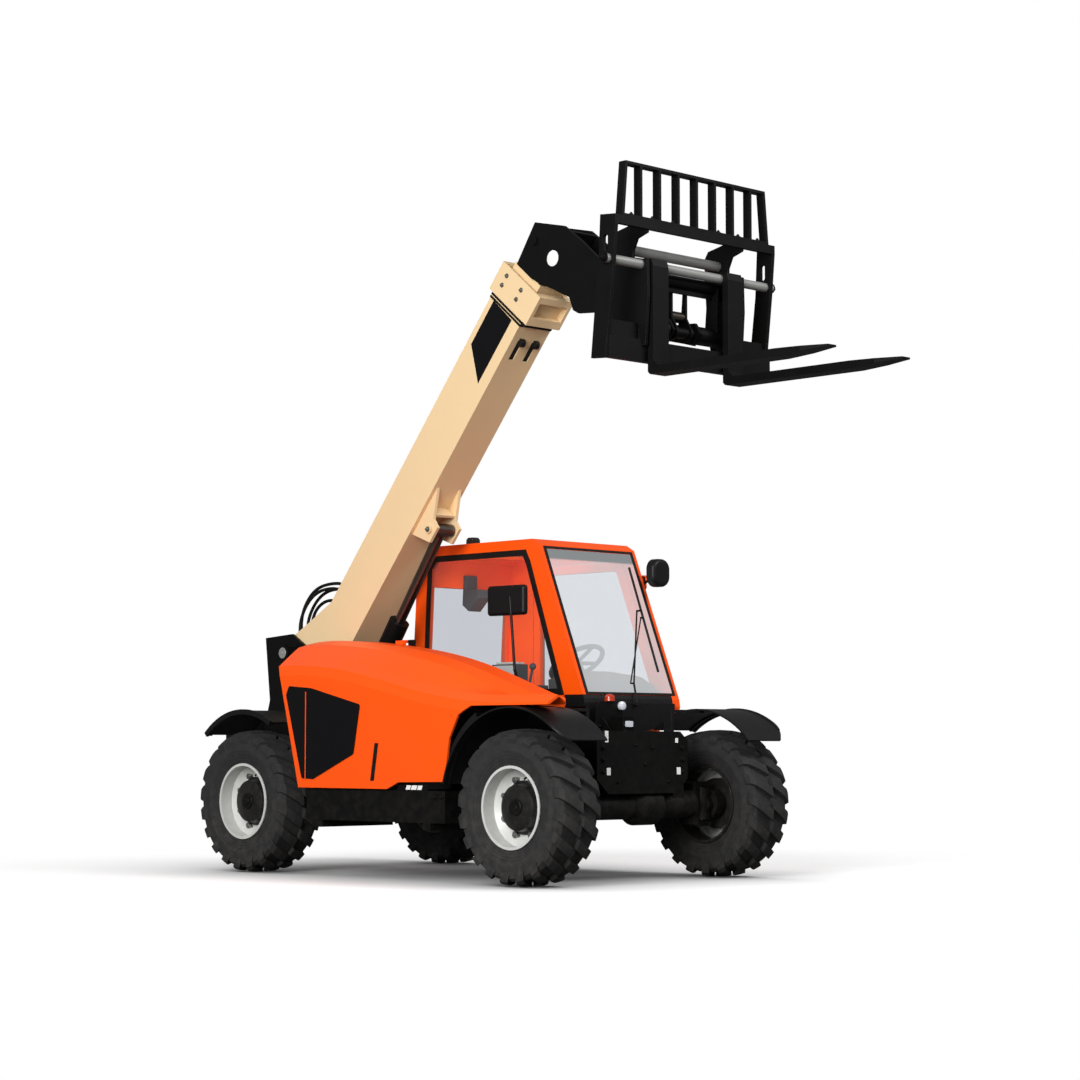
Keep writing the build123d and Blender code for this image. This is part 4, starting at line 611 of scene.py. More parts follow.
def plates(name, body, material, rings, push, edge_mm=0.0):
    """One piece made of flat plates, each a ring of points, all of one thickness."""
    def draw(sketch):
        for ring in rings:
            slab(sketch, ring, push)

    return piece(name, body, material, draw, edge_mm)


# %% [markdown]
# Bolts and nuts repeat by the dozen, so Geometry Nodes place them. The tree takes a cloud of points
# that carry an `aim` and a `size`, builds one hexagon head with its washer and thread end, and sets a
# copy on every point, turned at random about its own axis with a fixed seed, since no fitter lines
# bolt heads up. The last nodes make the copies real and give them their finish.

# %% The bolt tree
def bolt_tree():
    """Node group: points with aim and size in, real bolt heads out."""
    tree = bpy.data.node_groups.new("hexagon_bolts", "GeometryNodeTree")
    face = tree.interface
    face.new_socket("Points", in_out="INPUT", socket_type="NodeSocketGeometry")
    head = face.new_socket("Head height", in_out="INPUT", socket_type="NodeSocketFloat")
    washer = face.new_socket("Washer size", in_out="INPUT", socket_type="NodeSocketFloat")
    thread = face.new_socket("Thread height", in_out="INPUT", socket_type="NodeSocketFloat")
    seed = face.new_socket("Seed", in_out="INPUT", socket_type="NodeSocketInt")
    steel = face.new_socket("Finish", in_out="INPUT", socket_type="NodeSocketMaterial")
    face.new_socket("Bolts", in_out="OUTPUT", socket_type="NodeSocketGeometry")
    given = add(tree, "NodeGroupInput").outputs

    def share(height, part):
        """A part of a height."""
        return add(tree, "ShaderNodeMath", {1: part}, {0: height}, operation="MULTIPLY").outputs[0]

    def lifted(shape, height):
        """A shape centred on z = 0, lifted to stand on z = 0."""
        shift = add(tree, "ShaderNodeCombineXYZ", None, {"Z": share(height, 0.5)}).outputs[0]
        return add(tree, "GeometryNodeTransform", None, {"Geometry": shape, "Translation": shift}).outputs[0]

    # all sizes are shares of the width across the flats
    tall = given["Head height"]
    hexagon = add(tree, "GeometryNodeMeshCylinder", {"Vertices": 6, "Radius": 0.577}, {"Depth": tall})
    crown_tall = share(tall, 1.12)
    crown = add(tree, "GeometryNodeMeshCylinder", {"Vertices": 24, "Radius": 0.47}, {"Depth": crown_tall})
    flat = share(tall, 0.2)
    disc = add(tree, "GeometryNodeMeshCylinder", {"Vertices": 28},
               {"Depth": flat, "Radius": given["Washer size"]})
    stud = add(tree, "GeometryNodeMeshCylinder", {"Vertices": 16, "Radius": 0.3},
               {"Depth": given["Thread height"]})
    joined = add(tree, "GeometryNodeJoinGeometry")
    for shape, height in ((hexagon, tall), (crown, crown_tall), (disc, flat), (stud, given["Thread height"])):
        tree.links.new(lifted(shape.outputs["Mesh"], height), joined.inputs[0])
    aim = add(tree, "GeometryNodeInputNamedAttribute", {"Name": "aim"}, data_type="FLOAT_VECTOR").outputs[0]
    size = add(tree, "GeometryNodeInputNamedAttribute", {"Name": "size"}, data_type="FLOAT").outputs[0]
    upright = add(tree, "FunctionNodeAlignRotationToVector", None, {"Vector": aim}, axis="Z").outputs[0]
    angle = add(tree, "FunctionNodeRandomValue", {"Min": 0.0, "Max": 1.047}, {"Seed": given["Seed"]},
                data_type="FLOAT")
    chance = [s for s in angle.outputs if s.enabled][0]
    spin = add(tree, "FunctionNodeAxisAngleToRotation", {"Axis": (0, 0, 1)}, {"Angle": chance}).outputs[0]
    turned = add(tree, "FunctionNodeRotateRotation", None, {"Rotation": upright, "Rotate By": spin},
                 rotation_space="LOCAL").outputs[0]
    seats = add(tree, "GeometryNodeMeshToPoints", {"Radius": 0.001}, {"Mesh": given["Points"]})
    copies = add(tree, "GeometryNodeInstanceOnPoints", None,
                 {"Points": seats.outputs[0], "Instance": joined.outputs[0], "Rotation": turned, "Scale": size})
    real = add(tree, "GeometryNodeRealizeInstances", None, {"Geometry": copies.outputs[0]})
    coated = add(tree, "GeometryNodeSetMaterial", None,
                 {"Geometry": real.outputs[0], "Material": given["Finish"]})
    add(tree, "NodeGroupOutput", None, {"Bolts": coated.outputs[0]})
    return tree, head, washer, thread, seed, steel


BOLT_TREE, HEAD, WASHER, THREAD, SEED, STEEL = bolt_tree()
print("bolt tree with", len(BOLT_TREE.nodes), "nodes")

# %% [markdown]
# Each set of bolts is a mesh of bare points with two attributes and the tree as its modifier. The
# inputs are set by their identifiers, because a modifier doesn't know them by name. Then the result
# is taken as a plain mesh and the modifier goes, so that one solid mesh rides on each body.

# %% Bolts on a body
BOLT_SEED = 7


def bolts(name, body, material, places, head=0.62, washer=0.85, thread=0.85):
    """Bolt heads on a body: places are (point, aim, millimetres across the flats)."""
    mesh = bpy.data.meshes.new(name)
    mesh.from_pydata([tuple(p) for p, _, _ in places], [], [])
    aim = mesh.attributes.new("aim", "FLOAT_VECTOR", "POINT")
    aim.data.foreach_set("vector", [c for _, direction, _ in places for c in Vector(direction).normalized()])
    size = mesh.attributes.new("size", "FLOAT", "POINT")
    size.data.foreach_set("value", [across * MM for _, _, across in places])
    obj = bpy.data.objects.new(name, mesh)
    bpy.context.scene.collection.objects.link(obj)
    modifier = obj.modifiers.new("bolts", "NODES")
    modifier.node_group = BOLT_TREE
    for socket, value in ((HEAD, head), (WASHER, washer), (THREAD, thread), (SEED, BOLT_SEED),
                          (STEEL, material)):
        modifier[socket.identifier] = value
    graph = bpy.context.evaluated_depsgraph_get()
    solid = bpy.data.meshes.new_from_object(obj.evaluated_get(graph))
    obj.modifiers.clear()
    obj.data = solid
    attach(obj, body)
    print(name, "on", body, "with", len(places), "bolts,", len(solid.polygons), "faces")


# %% [markdown]
# Each wheel gets eight nuts on its silver disc, a cap on its black hub and a valve in the rim. The
# wheels turn, so each wheel has its own pieces instead of one mesh for all four.

# %% Wheel nuts, hub caps and valves
NUT_CIRCLE, NUT_OUT = 156.0, 28.2
VALVE_CIRCLE, VALVE_ANGLE = 186, 1.2
# corner, axle, side (+1 left, -1 right)
CORNERS = (("front_right", FRONT_AXLE, -1), ("front_left", FRONT_AXLE, 1),
           ("rear_right", REAR_AXLE, -1), ("rear_left", REAR_AXLE, 1))
EIGHTHS = [2 * pi * (i + 0.5) / 8 for i in range(8)]


def around(axle, side, radius, angle, out):
    """A place on a wheel: radius and angle about its axle, out from its middle plane, in millimetres."""
    return Vector((axle + radius * MM * cos(angle), side * (WHEEL_Y + out * MM),
                   HUB_HEIGHT + radius * MM * sin(angle)))


for corner, axle, side in CORNERS:
    body = "wheel_" + corner
    out = (0, side, 0)
    nuts = [(around(axle, side, NUT_CIRCLE, t, NUT_OUT), out, 32) for t in EIGHTHS]
    bolts("wheel_nuts_" + corner, body, NUT_ZINC, nuts)

    def draw_hub_cap(sketch):
        lathe(sketch, around(axle, side, 0, 0, 95), out,
              ((0, 46), (6, 46), (9, 42), (9, 20), (14, 16), (14, 6)), 40)

    def draw_valve(sketch):
        lean = Vector(out) * 0.8 - Vector((cos(VALVE_ANGLE), 0, sin(VALVE_ANGLE))) * 0.5
        lathe(sketch, around(axle, side, VALVE_CIRCLE, VALVE_ANGLE, 50), lean,
              ((0, 7), (10, 7), (12, 4), (34, 4), (35, 5.5), (46, 5.5)), 16)

    piece("hub_cap_" + corner, body, BLACK_SATIN, draw_hub_cap)
    piece("valve_" + corner, body, BLACK_RUBBER, draw_valve)

# %% [markdown]
# The machine is bolted together in plain sight. Each row of bolts is one line: where the bolts
# stand, the way they face, and their size across the flats. On the boom they hold the collar round
# its end and the lugs of the lift cylinder.

# %% Bolts on the boom
COLLAR_ALONG = (2806, 2868)
COLLAR_SQUARE = (-179, -331)
COLLAR_HALF = 133
LUG_HALF = 109

boom_bolts = [(on_boom(a, p, s * COLLAR_HALF), (0, s, 0), 17) for a in COLLAR_ALONG for p in COLLAR_SQUARE
              for s in (-1, 1)]
boom_bolts += [(on_boom(1346, -540, s * LUG_HALF), (0, s, 0), 20) for s in (-1, 1)]
bolts("boom_collar_bolts", "boom", NUT_ZINC, boom_bolts, head=0.4)

# %% [markdown]
# The chassis has the most rows: on the tower and the frame, on the front plate and round the edges.
# The carriage and the door move on their own, so their bolts are pieces of their own.

# %% Bolts on the chassis, carriage and door
FRONT_PLATE = 2405
MARKER_PLATE = 1972

# tower and frame, seen from the right
chassis_bolts = [(on_machine(x, -338.2, 1344), RIGHT, 16) for x in (-240, -210)]
chassis_bolts += [(on_machine(x, -326.2, 640), RIGHT, 24) for x in (-480, -330, -180)]
# front plate: two columns, and smaller ones between them
chassis_bolts += [(on_machine(FRONT_PLATE, y, z), FRONT, 20) for y in (-315, 315) for z in (600, 665, 730)]
chassis_bolts += [(on_machine(FRONT_PLATE, y, z), FRONT, 15)
                  for y, z in ((-60, 745), (75, 730), (15, 640), (-200, 545), (200, 545))]
# sill, counterweight, deck, marker bracket and left fender
chassis_bolts += [(on_machine(x, -860.2, 462), RIGHT, 18) for x in (1660, 1715)]
chassis_bolts += [(on_machine(-680, y, z), BACK, 30) for y in (-360, 360) for z in (540, 870)]
chassis_bolts += [(on_machine(2355, y, 812.5), UP, 18) for y in (-260, -90, 90, 260)]
chassis_bolts += [(on_machine(MARKER_PLATE, y, 850), FRONT, 15) for y in (100, 270)]
chassis_bolts += [(on_machine(x, 880, 930), (0.2, 0, 1), 14) for x in (2205, 2365)]
bolts("chassis_bolts", "chassis", BLACK_SATIN, chassis_bolts)

carriage_bolts = [(on_carriage(122, y, 552.5), UP, 17) for y in (-500, -340, -180, 180, 340, 500)]
carriage_bolts += [(on_carriage(80, s * 660, 312), (0, s, 0), 34) for s in (-1, 1)]
bolts("carriage_bolts", "carriage", BLACK_SATIN, carriage_bolts, head=0.5)

hinge_bolts = [(on_machine(730, 858.2, z + dz), LEFT, 13) for z in (860, 1600) for dz in (-20, 20)]
bolts("door_hinge_bolts", "door", NUT_ZINC, hinge_bolts, head=0.5)

# %% [markdown]
# Signs and films are blank. The boom carries a black panel with slanted ends on each side, and its
# head a white disc with a black rim and a white label on the slope at its top. A film could be
# painted into the material, but a thin plate keeps a crisp edge at any distance.

# %% Signs on the boom and its head
HEAD_HALF = 115
BOOM_HALF = 123.0
BOOM_BOTTOM = -440.0
BOOM_PANEL = ((2696, -168), (2690, -366), (2254, -364), (2398, -169))
HEAD_LABEL = ((3220, -164, -104), (3220, -164, -12), (3244.5, -213, -12), (3244.5, -213, -104))


def along_boom(a, p):
    """A step along the boom and square to it, as a vector."""
    return on_boom(a, p, 0) - on_boom(0, 0, 0)


for side, label in ((-1, "right"), (1, "left")):
    ring = [on_boom(a, p, side * BOOM_HALF) for a, p in BOOM_PANEL]
    plates("boom_panel_" + label, "boom", BLACK_GLOSS, [ring], (0, side * 0.7 * MM, 0))


def draw_disc(sketch, radius, out, thick):
    lathe(sketch, on_boom(3137, -416, -HEAD_HALF - out), RIGHT,
          ((0, radius), (thick, radius), (thick + 0.3, radius - 1)), 48)


piece("head_disc_rim", "telescope", BLACK_GLOSS, lambda sketch: draw_disc(sketch, 52, 0, 0.8))
piece("head_disc", "telescope", WHITE_FILM, lambda sketch: draw_disc(sketch, 45, 0.8, 0.8))

# %% [markdown]
# Under the boom hang two hooks with black caps, and black sheets on the floors of their slots are
# painted shade. Two rubber straps run round the boom near its end, with their tied ends below.
# Each strap is four flat bars round the boom's section, because a stretched strap has flat sides
# and sharp corners.

# %% Straps and hook slots
STRAP_TOP, STRAP_LOW, STRAP_THICK, STRAP_WIDE = -131, -440, 4, 13


def draw_bands(sketch):
    """Two straps round the boom, each a closed square ring."""
    top, low, half, thick = STRAP_TOP, STRAP_LOW, BOOM_HALF, STRAP_THICK
    for a in (2697, 2716):
        for p0, p1, y0, y1 in ((top, top + thick, -half - thick, half + thick),
                               (low - thick, low, -half - thick, half + thick),
                               (low, top, -half - thick, -half), (low, top, half, half + thick)):
            end = a + STRAP_WIDE
            slab(sketch, [on_boom(a, p0, y0), on_boom(end, p0, y0), on_boom(end, p1, y0), on_boom(a, p1, y0)],
                 (0, (y1 - y0) * MM, 0))


def draw_hook_caps_and_slot_shade(sketch):
    """Black caps on the two hooks under the boom, and black sheets in their slots as painted shade."""
    for y in (-55, 55):
        lathe(sketch, on_boom(2599, BOOM_BOTTOM - 10, y - 15), LEFT, ((0, 25), (30, 25)), 40)
        # painted shade: a black sheet on the floor of each slot
        ring = [on_boom(a, BOOM_BOTTOM + 7.4, y + side)
                for a, side in ((2476, -18), (2476, 18), (2604, 18), (2604, -18))]
        slab(sketch, ring, along_boom(0, -1.5))


def draw_band_ends(sketch):
    """The tied ends of the straps, hanging under the boom."""
    for y in (-118, -60):
        points = [on_boom(2712 + 18 * sin(t), -446 - 26 * sin(t * 0.5), y) for t in (0, pi / 2, pi)]
        for a, b in zip(points, points[1:]):
            bar(sketch, a, b, 7, 16)


piece("boom_bands", "boom", BLACK_RUBBER, draw_bands, edge_mm=0.8)
piece("hook_caps_and_slot_shade", "boom", BLACK_MOULDED, draw_hook_caps_and_slot_shade)
piece("band_ends", "boom", BLACK_RUBBER, draw_band_ends)

# %% [markdown]
# Flat marks on the machine: four reflectors on the front plate, a black strip with three white
# marks on the sill, a fine orange line down the hood's side panel, a black surround for the slot
# beside it, and the blank label at the head's top.

# %% Reflectors, sill sign and the hood's marks
# across (y), height (z), width, height of each reflector on the front plate
REFLECTORS = ((-287, 790, 26, 62), (-272, 602, 30, 40), (285, 602, 30, 40), (269, 770, 22, 26))
SILL_SIDE = -860
MARK_LOW, MARK_HIGH, MARK_LEAN = 500, 524, 10
SLOT_CORNERS = ((1149, 546), (1180, 546), (1216, 756), (1185, 756))

rings = [rounded(on_machine(FRONT_PLATE, y, z), LEFT, UP, width, height, 3)
         for y, z, width, height in REFLECTORS]
plates("front_reflectors", "chassis", WHITE_FILM, rings, (3 * MM, 0, 0), edge_mm=0.6)

strip = rounded(on_machine(1480, SILL_SIDE, 512), FRONT, UP, 250, 30, 6)
plates("sill_strip", "chassis", BLACK_GLOSS, [strip], (0, -2 * MM, 0))

marks = []
for x, width in ((1440, 36), (1487, 44), (1535, 36)):
    left, right, y = x - width / 2, x + width / 2, SILL_SIDE - 2
    marks.append([on_machine(left, y, MARK_LOW), on_machine(left + MARK_LEAN, y, MARK_HIGH),
                   on_machine(right + MARK_LEAN, y, MARK_HIGH), on_machine(right, y, MARK_LOW)])
plates("sill_sign", "chassis", WHITE_FILM, marks, (0, -1 * MM, 0))

line = rounded(on_machine(580, -889.1, 800), FRONT, UP, 7, 500, 3)
plates("side_panel_line", "hood", ORANGE_GLOSS, [line], (0, -1.2 * MM, 0))
slot = [on_machine(x, -885.2, z) for x, z in SLOT_CORNERS]
plates("hood_slot_liner", "hood", BLACK_MOULDED, [slot], (0, -1.2 * MM, 0))
label = [on_boom(a, p, y) for a, p, y in HEAD_LABEL]
plates("head_label", "telescope", WHITE_FILM, [label], along_boom(0.893, 0.451))

# %% [markdown]
# The driver's side: a step below the door, and a hatch and a filler cap on the tank. The studs that
# keep a boot from slipping are the bolt tree again, with a flat head and no thread.

# %% Step, hatch and filler cap
TANK_SIDE = 880.0
STEP_TOP = 384


def draw_step(sketch):
    block(sketch, on_machine(790, TANK_SIDE + 0.3, 372), on_machine(1180, TANK_SIDE + 25, STEP_TOP))
    for x in (800, 1158):
        block(sketch, on_machine(x, TANK_SIDE + 0.3, STEP_TOP), on_machine(x + 12, TANK_SIDE + 18, 440))


def draw_filler_cap(sketch):
    lathe(sketch, on_machine(700, TANK_SIDE, 520), LEFT,
          ((0, 44), (6, 44), (8, 36), (20, 36), (23, 33), (23, 8)))


piece("entry_step", "chassis", BLACK_SATIN, draw_step, edge_mm=1.5)
hatch = rounded(on_machine(1400, TANK_SIDE, 500), FRONT, UP, 260, 210, 24)
plates("tank_hatch", "chassis", BLACK_MOULDED, [hatch], (0, 5 * MM, 0), edge_mm=1.5)
piece("filler_cap", "chassis", BLACK_MOULDED, draw_filler_cap)
studs = [(on_machine(x, TANK_SIDE + y, STEP_TOP), UP, 9) for x in range(812, 1165, 22) for y in (7, 18)]
studs += [(on_machine(x, TANK_SIDE + 5, z), LEFT, 13) for x in (1290, 1510) for z in (415, 585)]
bolts("step_studs", "chassis", NUT_ZINC, studs, head=0.25, washer=0.5, thread=0.0)

# %% [markdown]
# Lamps: a round clear lamp beside the amber marker on the front bracket, a small square one below
# it, a marker light beside the cab, and three plain lamps on a box at each side of the back. Each
# is a turned or a flat form with a broken edge, which catches the light as a moulded lens does.

# %% Lamps
TAIL_FACE, TAIL_Y, TAIL_Z = -694, 360, 785


def draw_clear_lamps(sketch):
    lathe(sketch, on_machine(1973, 271, 966), FRONT, ((0, 24), (14, 26), (22, 24), (27, 14), (28, 4)))
    slab(sketch, rounded(on_machine(2111, 193, 862), LEFT, UP, 58, 34, 8), (9 * MM, 0, 0))
    lathe(sketch, on_machine(1436, 28, 1056), UP, ((0, 17), (8, 19), (24, 19), (32, 12), (33, 4)))


def draw_lamp_boxes(sketch):
    """The boxes behind the tail lamps."""
    for side in (-1, 1):
        block(sketch, on_machine(TAIL_FACE, side * TAIL_Y - 75, TAIL_Z - 40),
              on_machine(-680.3, side * TAIL_Y + 75, TAIL_Z + 40))


piece("clear_lamps", "chassis", CLEAR_LENS, draw_clear_lamps, edge_mm=1.0)
piece("tail_lamp_backs", "chassis", BLACK_MOULDED, draw_lamp_boxes, edge_mm=2.0)
rings = [rounded(on_machine(TAIL_FACE, side * TAIL_Y + 46 * k, TAIL_Z), LEFT, UP, 40, 62, 8)
         for side in (-1, 1) for k in (-1, 0, 1)]
plates("tail_lamps", "chassis", RED_LENS, rings, (-9 * MM, 0, 0), edge_mm=1.5)

# %% [markdown]
# Rubber holds the cab's glass in its frame, as a strip of even width. A flat ring scaled down would
# be thin on one side and thick on the other, so each corner moves inwards along the line that
# halves its angle, and by more where the corner is sharp.

# %% Rubber round the glass
def frame_ring(sketch, ring, width, push):
    """A closed flat frame inside a ring of points, with a thickness."""
    push = Vector(push)
    normal = push.normalized()
    inner = []
    for i, p in enumerate(ring):
        before = (p - ring[i - 1]).normalized()
        after = (ring[(i + 1) % len(ring)] - p).normalized()
        side = normal.cross(before + after).normalized()
        # the limit keeps a needle-sharp corner from running far inwards
        inner.append(p + side * width * MM / max(0.3, side.dot(normal.cross(before))))
    loops = [[sketch.verts.new(p + lift) for p in points]
             for lift in (Vector(), push) for points in (ring, inner)]
    outer_0, inner_0, outer_1, inner_1 = loops
    for a, b in ((outer_0, inner_0), (inner_0, inner_1), (inner_1, outer_1), (outer_1, outer_0)):
        for i in range(len(ring)):
            j = (i + 1) % len(ring)
            sketch.faces.new((a[i], a[j], b[j], b[i]))


DOOR_WINDOW = ((760, 720), (1640, 720), (1640, 1040), (1710, 1050), (1424, 1760), (1405, 1785), (760, 1785))
REAR_WINDOW = ((440, 102, 1080), (440, 808, 1080), (478, 808, 1700), (478, 102, 1700))
ROOF_WINDOW = ((688, 168), (1342, 168), (1342, 742), (688, 742))


def rubber(name, body, frames):
    """One piece of rubber: frames are (ring, width in millimetres, thickness as a vector)."""
    def draw(sketch):
        for ring, width, push in frames:
            frame_ring(sketch, ring, width, push)

    piece(name, body, BLACK_RUBBER, draw)


# the door's glass has rubber on both sides
rubber("door_rubber", "door", [([on_machine(x, y, z) for x, z in DOOR_WINDOW[::-1]], width, (0, out * MM, 0))
                               for y, out, width in ((850.3, 5, -16), (825.0, -4, 16))])
rubber("rear_rubber", "chassis", [([on_machine(*corner) for corner in REAR_WINDOW], 14, (-5 * MM, 0, 0))])
rubber("roof_rubber", "chassis", [([on_machine(x, y, 1935) for x, y in ROOF_WINDOW], 16, (0, 0, 5 * MM))])

# %% [markdown]
# Plain plates finish the cab: the glass in both mirrors, the folded plate that carries the left
# one's arm, a black guard on the lower right wall, and the control box beside the seat.

# %% Mirrors, guard and control box
def draw_mirror_glasses(sketch):
    slab(sketch, rounded(on_machine(1719.7, 830, 1758), LEFT, UP, 112, 128, 44), (-2 * MM, 0, 0))
    slab(sketch, rounded(on_machine(1330, 19.4, 1580), (1, 0.052, 0), UP, 262, 140, 16), (0, 2 * MM, 0))


def draw_control_box(sketch):
    block(sketch, on_machine(1110, 112, 1215.3), on_machine(1262, 200, 1228))
    block(sketch, on_machine(1100, 104, 1100), on_machine(1270, 109.7, 1208))


piece("mirror_glasses", "chassis", MIRROR_SILVER, draw_mirror_glasses)
bracket = rounded(on_machine(1572, 872.3, 1712), FRONT, UP, 74, 84, 12)
plates("mirror_bracket", "chassis", ORANGE_GLOSS, [bracket], (0, 5 * MM, 0), edge_mm=1.0)
guard = [on_machine(x, 59.7, z) for x, z in ((700, 660), (1722, 660), (1722, 948), (700, 948))]
plates("cab_liner", "chassis", BLACK_MOULDED, [guard], (0, -2 * MM, 0))
piece("control_pad", "chassis", LIGHT_TRIM, draw_control_box, edge_mm=2.5)

# %% [markdown]
# The seat is upholstered: two pads with a crown in the middle, pulled-in sides and stitched seams.
# Cloth simulation could swell them, but they sit behind tinted glass, and a formula gives the same
# form in a moment. Each pad starts as a cube cut into a fine grid. Its corners are rounded by moving
# every point towards a smaller core box, and then the crown and the seams are pressed in.

# %% Padded seat
PAD_CUTS = 22
SIDE_PULL, CROWN_DROP, EDGE_DROP = 0.030, 0.16, 2
SEAM_DEPTH, SEAM_HALF, SEAM_FADE = 4.5, 6, 2.718


def seam_press(away):
    """Depth of a seam's groove, at a distance from it."""
    return SEAM_DEPTH * SEAM_FADE ** (-(away / SEAM_HALF) ** 2)


def pad(sketch, centre, axes, half, radius, seams):
    """A pad: axes are width, length and face; half sizes and radius in millimetres; seams across it."""
    cube = bmesh.ops.create_cube(sketch, size=2.0)["verts"]
    edges = list({e for v in cube for e in v.link_edges})
    bmesh.ops.subdivide_edges(sketch, edges=edges, cuts=PAD_CUTS, use_grid_fill=True)
    fresh = [v for v in sketch.verts if not v.tag]
    width, length, face = [Vector(a).normalized() for a in axes]
    for v in fresh:
        v.tag = True
        part = [c * h for c, h in zip(v.co, half)]
        core = [max(-(h - radius), min(h - radius, c)) for c, h in zip(part, half)]
        reach = Vector([c - k for c, k in zip(part, core)])
        x, y, z = Vector(core) + (reach.normalized() * radius if reach.length > 1e-6 else reach)
        u, w, t = x / half[0], y / half[1], z / half[2]
        pull = SIDE_PULL * (1 - t * t)
        x, y = x * (1 - pull), y * (1 - pull)
        if t > 0:
            z -= t * (CROWN_DROP * half[2] * (u * u + w * w) / 2 + EDGE_DROP)
            along = [seam_press((u - s) * half[0]) for s in seams[0]]
            across = [seam_press((w - s) * half[1]) * (abs(u) < 0.62) for s in seams[1]]
            z -= t * max(along + across)
        v.co = Vector(centre) + (width * x + length * y + face * z) * MM


def draw_seat(sketch):
    pad(sketch, on_machine(930, 460, 957.5), (LEFT, FRONT, UP), (228, 228, 51), 42,
        ((-0.62, 0.62), (-0.3, 0.3)))
    pad(sketch, on_machine(655, 460, 1102), (RIGHT, (-0.057, 0, 1), (1, 0, 0.057)), (207, 120, 41), 36,
        ((-0.62, 0.62), (-0.1, 0.55)))


seat = piece("seat_pads", "chassis", SEAT_VINYL, draw_seat)
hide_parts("seat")

# %% [markdown]
# The fittings on the hoses and the cap on the boom's pivot pin close the list of small pieces. A
# hydraulic fitting is a hexagon nut with a crimped sleeve behind it, and both are turned parts, so
# the nut is the same lathe with six sides.

# %% Fittings and pins
def draw_hose_fittings(sketch):
    """A crimped sleeve and a hexagon nut at each end of each hose."""
    for _, loop, across in HOSES:
        for (a0, p0), (a1, p1) in ((loop[0], loop[1]), (loop[-1], loop[-2])):
            foot, toward = on_boom(a0, p0, across), on_boom(a1, p1, across)
            run = toward - foot
            lathe(sketch, foot, run, ((0.5, 15), (14, 15), (14.5, 12), (17, 12)), 6)
            lathe(sketch, foot, run, ((16, 12), (17, 13), (40, 13), (42, 11)), 24)


piece("hose_fittings", "boom", NUT_ZINC, draw_hose_fittings)


def draw_pivot_cap(sketch):
    lathe(sketch, on_boom(0, 0, -161), RIGHT,
          ((0, 34), (4, 34), (6, 32), (6, 10), (9, 8), (9, 3)), 40)


piece("pivot_cap", "boom", SHAFT_STEEL, draw_pivot_cap)

# %% [markdown]
# The studio's floor is pale under the machine and fades to white further out, so that it has no
# edge. Ambient occlusion darkens it where the wheels stand, as a large soft lamp would. Only the
# camera sees this: other rays meet a darker floor, which keeps the undersides and the blacks deep.

# %% Floor
FADE_FROM, FADE_TO = 2.7, 4.6
CONTACT_REACH = 0.9
HALF_FLOOR = 60.0

WHITE_FLOOR, tree = empty_material("pale_studio_floor")
place = add(tree, "ShaderNodeTexCoord").outputs["Object"]
reach = add(tree, "ShaderNodeVectorMath", None, {0: place}, operation="LENGTH")
fade = add(tree, "ShaderNodeMapRange", {"From Min": FADE_FROM, "From Max": FADE_TO},
           {"Value": reach.outputs["Value"]}, interpolation_type="SMOOTHSTEP")
open_sky = add(tree, "ShaderNodeAmbientOcclusion", {"Distance": CONTACT_REACH}, samples=16).outputs["AO"]
contact = add(tree, "ShaderNodeMapRange", {"To Min": 0.2, "To Max": 0.95},
              {"Value": open_sky}).outputs["Result"]
shade = add(tree, "ShaderNodeCombineColor", None, {"Red": contact, "Green": contact, "Blue": contact})
matt = add(tree, "ShaderNodeBsdfDiffuse", None, {"Color": shade.outputs["Color"]})
lift = add(tree, "ShaderNodeEmission", {"Strength": 0.12}, {"Color": shade.outputs["Color"]})
lit = add(tree, "ShaderNodeAddShader", None, {0: matt.outputs["BSDF"], 1: lift.outputs["Emission"]})
glow = add(tree, "ShaderNodeEmission", {"Color": (1, 1, 1, 1), "Strength": 1.0})
shown = add(tree, "ShaderNodeMixShader", None,
            {0: fade.outputs["Result"], 1: lit.outputs["Shader"], 2: glow.outputs["Emission"]})
dim = add(tree, "ShaderNodeBsdfDiffuse", {"Color": linear("#6A6A6A")})
camera_ray = add(tree, "ShaderNodeLightPath").outputs["Is Camera Ray"]
either = add(tree, "ShaderNodeMixShader", None,
             {0: camera_ray, 1: dim.outputs["BSDF"], 2: shown.outputs["Shader"]})
add(tree, "ShaderNodeOutputMaterial", None, {"Surface": either.outputs["Shader"]})

mesh = bpy.data.meshes.new("studio_floor")
mesh.from_pydata([(x * HALF_FLOOR, y * HALF_FLOOR, 0) for x, y in ((-1, -1), (1, -1), (1, 1), (-1, 1))],
                 [], [(0, 1, 2, 3)])
mesh.materials.append(WHITE_FLOOR)
floor = bpy.data.objects.new("studio_floor", mesh)
bpy.context.scene.collection.objects.link(floor)
print("floor", 2 * HALF_FLOOR, "m across")

# %% [markdown]
# The sky is white for the camera and through glass, but dimmer for the light it sheds and dimmer
# still in reflections, so a colour comes out about as it is written. A Light Path node tells which
# ray is asking.

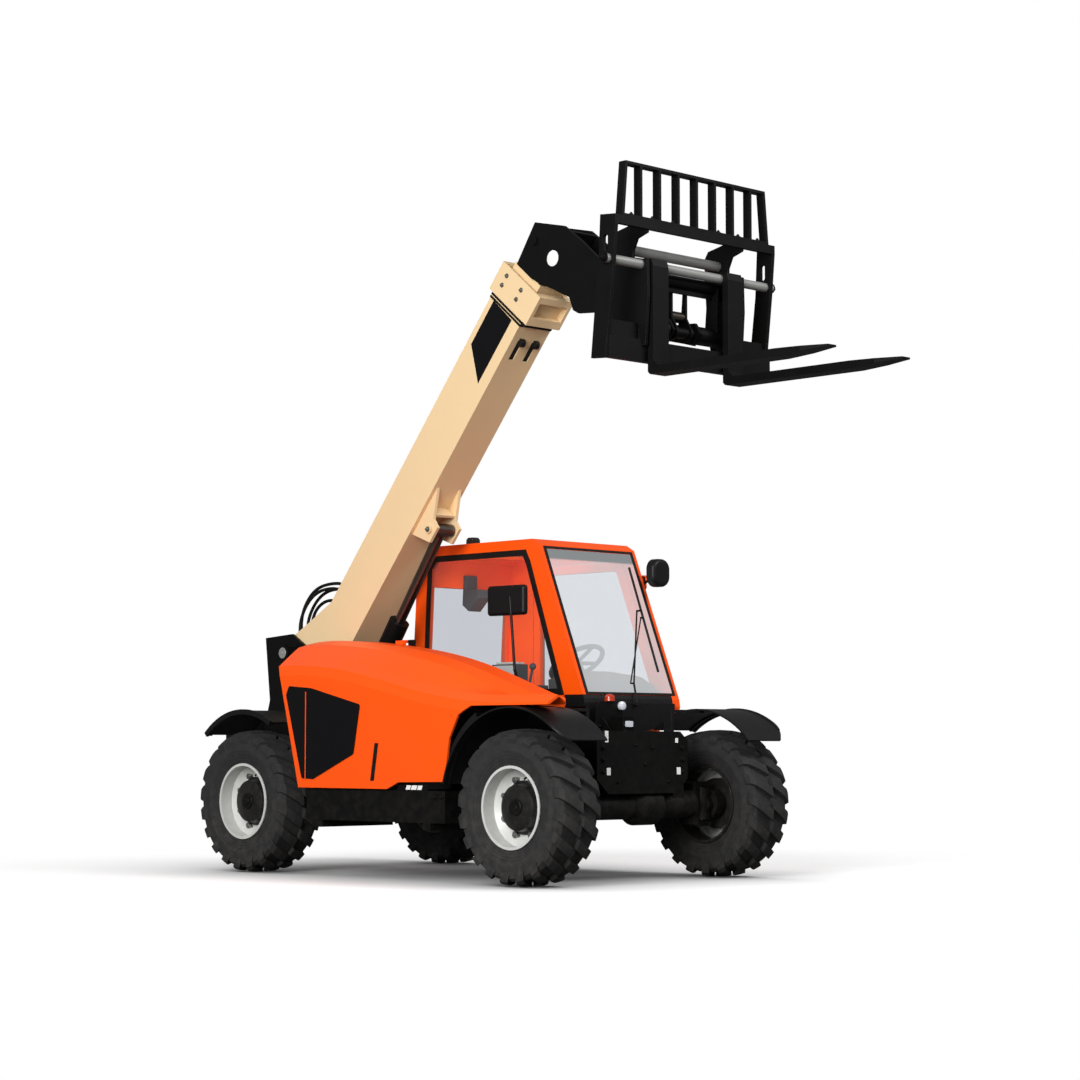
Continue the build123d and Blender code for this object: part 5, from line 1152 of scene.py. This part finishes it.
# %% Sky
SKY_DIFFUSE = 0.42
SKY_GLOSSY = 0.20
world = bpy.data.worlds.new("studio_sky")
bpy.context.scene.world = world
world.use_nodes = True
sky = world.node_tree
sky.nodes.clear()
rays = add(sky, "ShaderNodeLightPath").outputs
seen = add(sky, "ShaderNodeMath", None, {0: rays["Is Camera Ray"], 1: rays["Is Transmission Ray"]},
           operation="MAXIMUM")
mirrored = add(sky, "ShaderNodeMapRange", {"To Min": SKY_DIFFUSE, "To Max": SKY_GLOSSY},
               {"Value": rays["Is Glossy Ray"]})
level = add(sky, "ShaderNodeMath", None, {0: seen.outputs[0], 1: mirrored.outputs["Result"]},
            operation="MAXIMUM")
back = add(sky, "ShaderNodeBackground", {"Color": (1, 1, 1, 1)}, {"Strength": level.outputs[0]})
add(sky, "ShaderNodeOutputWorld", None, {"Surface": back.outputs["Background"]})
print("sky", SKY_DIFFUSE, "in its light,", SKY_GLOSSY, "in reflections")

# %% [markdown]
# Three large soft lamps light the machine from the front right, the front left and behind, and a
# small one fills the cab. A lamp shines along its own -Z, so `to_track_quat` turns that axis
# towards its aim. The rear lamp and the cab's stay out of reflections.

# %% Lamps of the studio
MIDDLE = (0.0, 0.0, 1.2)
# name, place, aim, size in metres, watts
LAMPS = (
    ("key_softbox", (4.5, -11.0, 4.6), MIDDLE, 6.0, 1400.0),
    ("fill_softbox", (8.5, 3.0, 8.5), MIDDLE, 5.0, 620.0),
    ("rear_softbox", (-9.0, 2.0, 8.0), MIDDLE, 6.0, 260.0),
    ("cab_lamp", (-0.75, 0.12, 1.45), (-0.75, 0.85, 1.5), 0.4, 4.0),
)
for name, spot, aim, size, watts in LAMPS:
    light = bpy.data.lights.new(name, "AREA")
    light.size = size
    light.energy = watts
    lamp = bpy.data.objects.new(name, light)
    lamp.location = spot
    lamp.visible_glossy = name in ("key_softbox", "fill_softbox")
    lamp.visible_camera = False
    lamp.rotation_euler = (Vector(aim) - Vector(spot)).to_track_quat("-Z", "Y").to_euler()
    bpy.context.scene.collection.objects.link(lamp)
    print(name, watts, "watts")
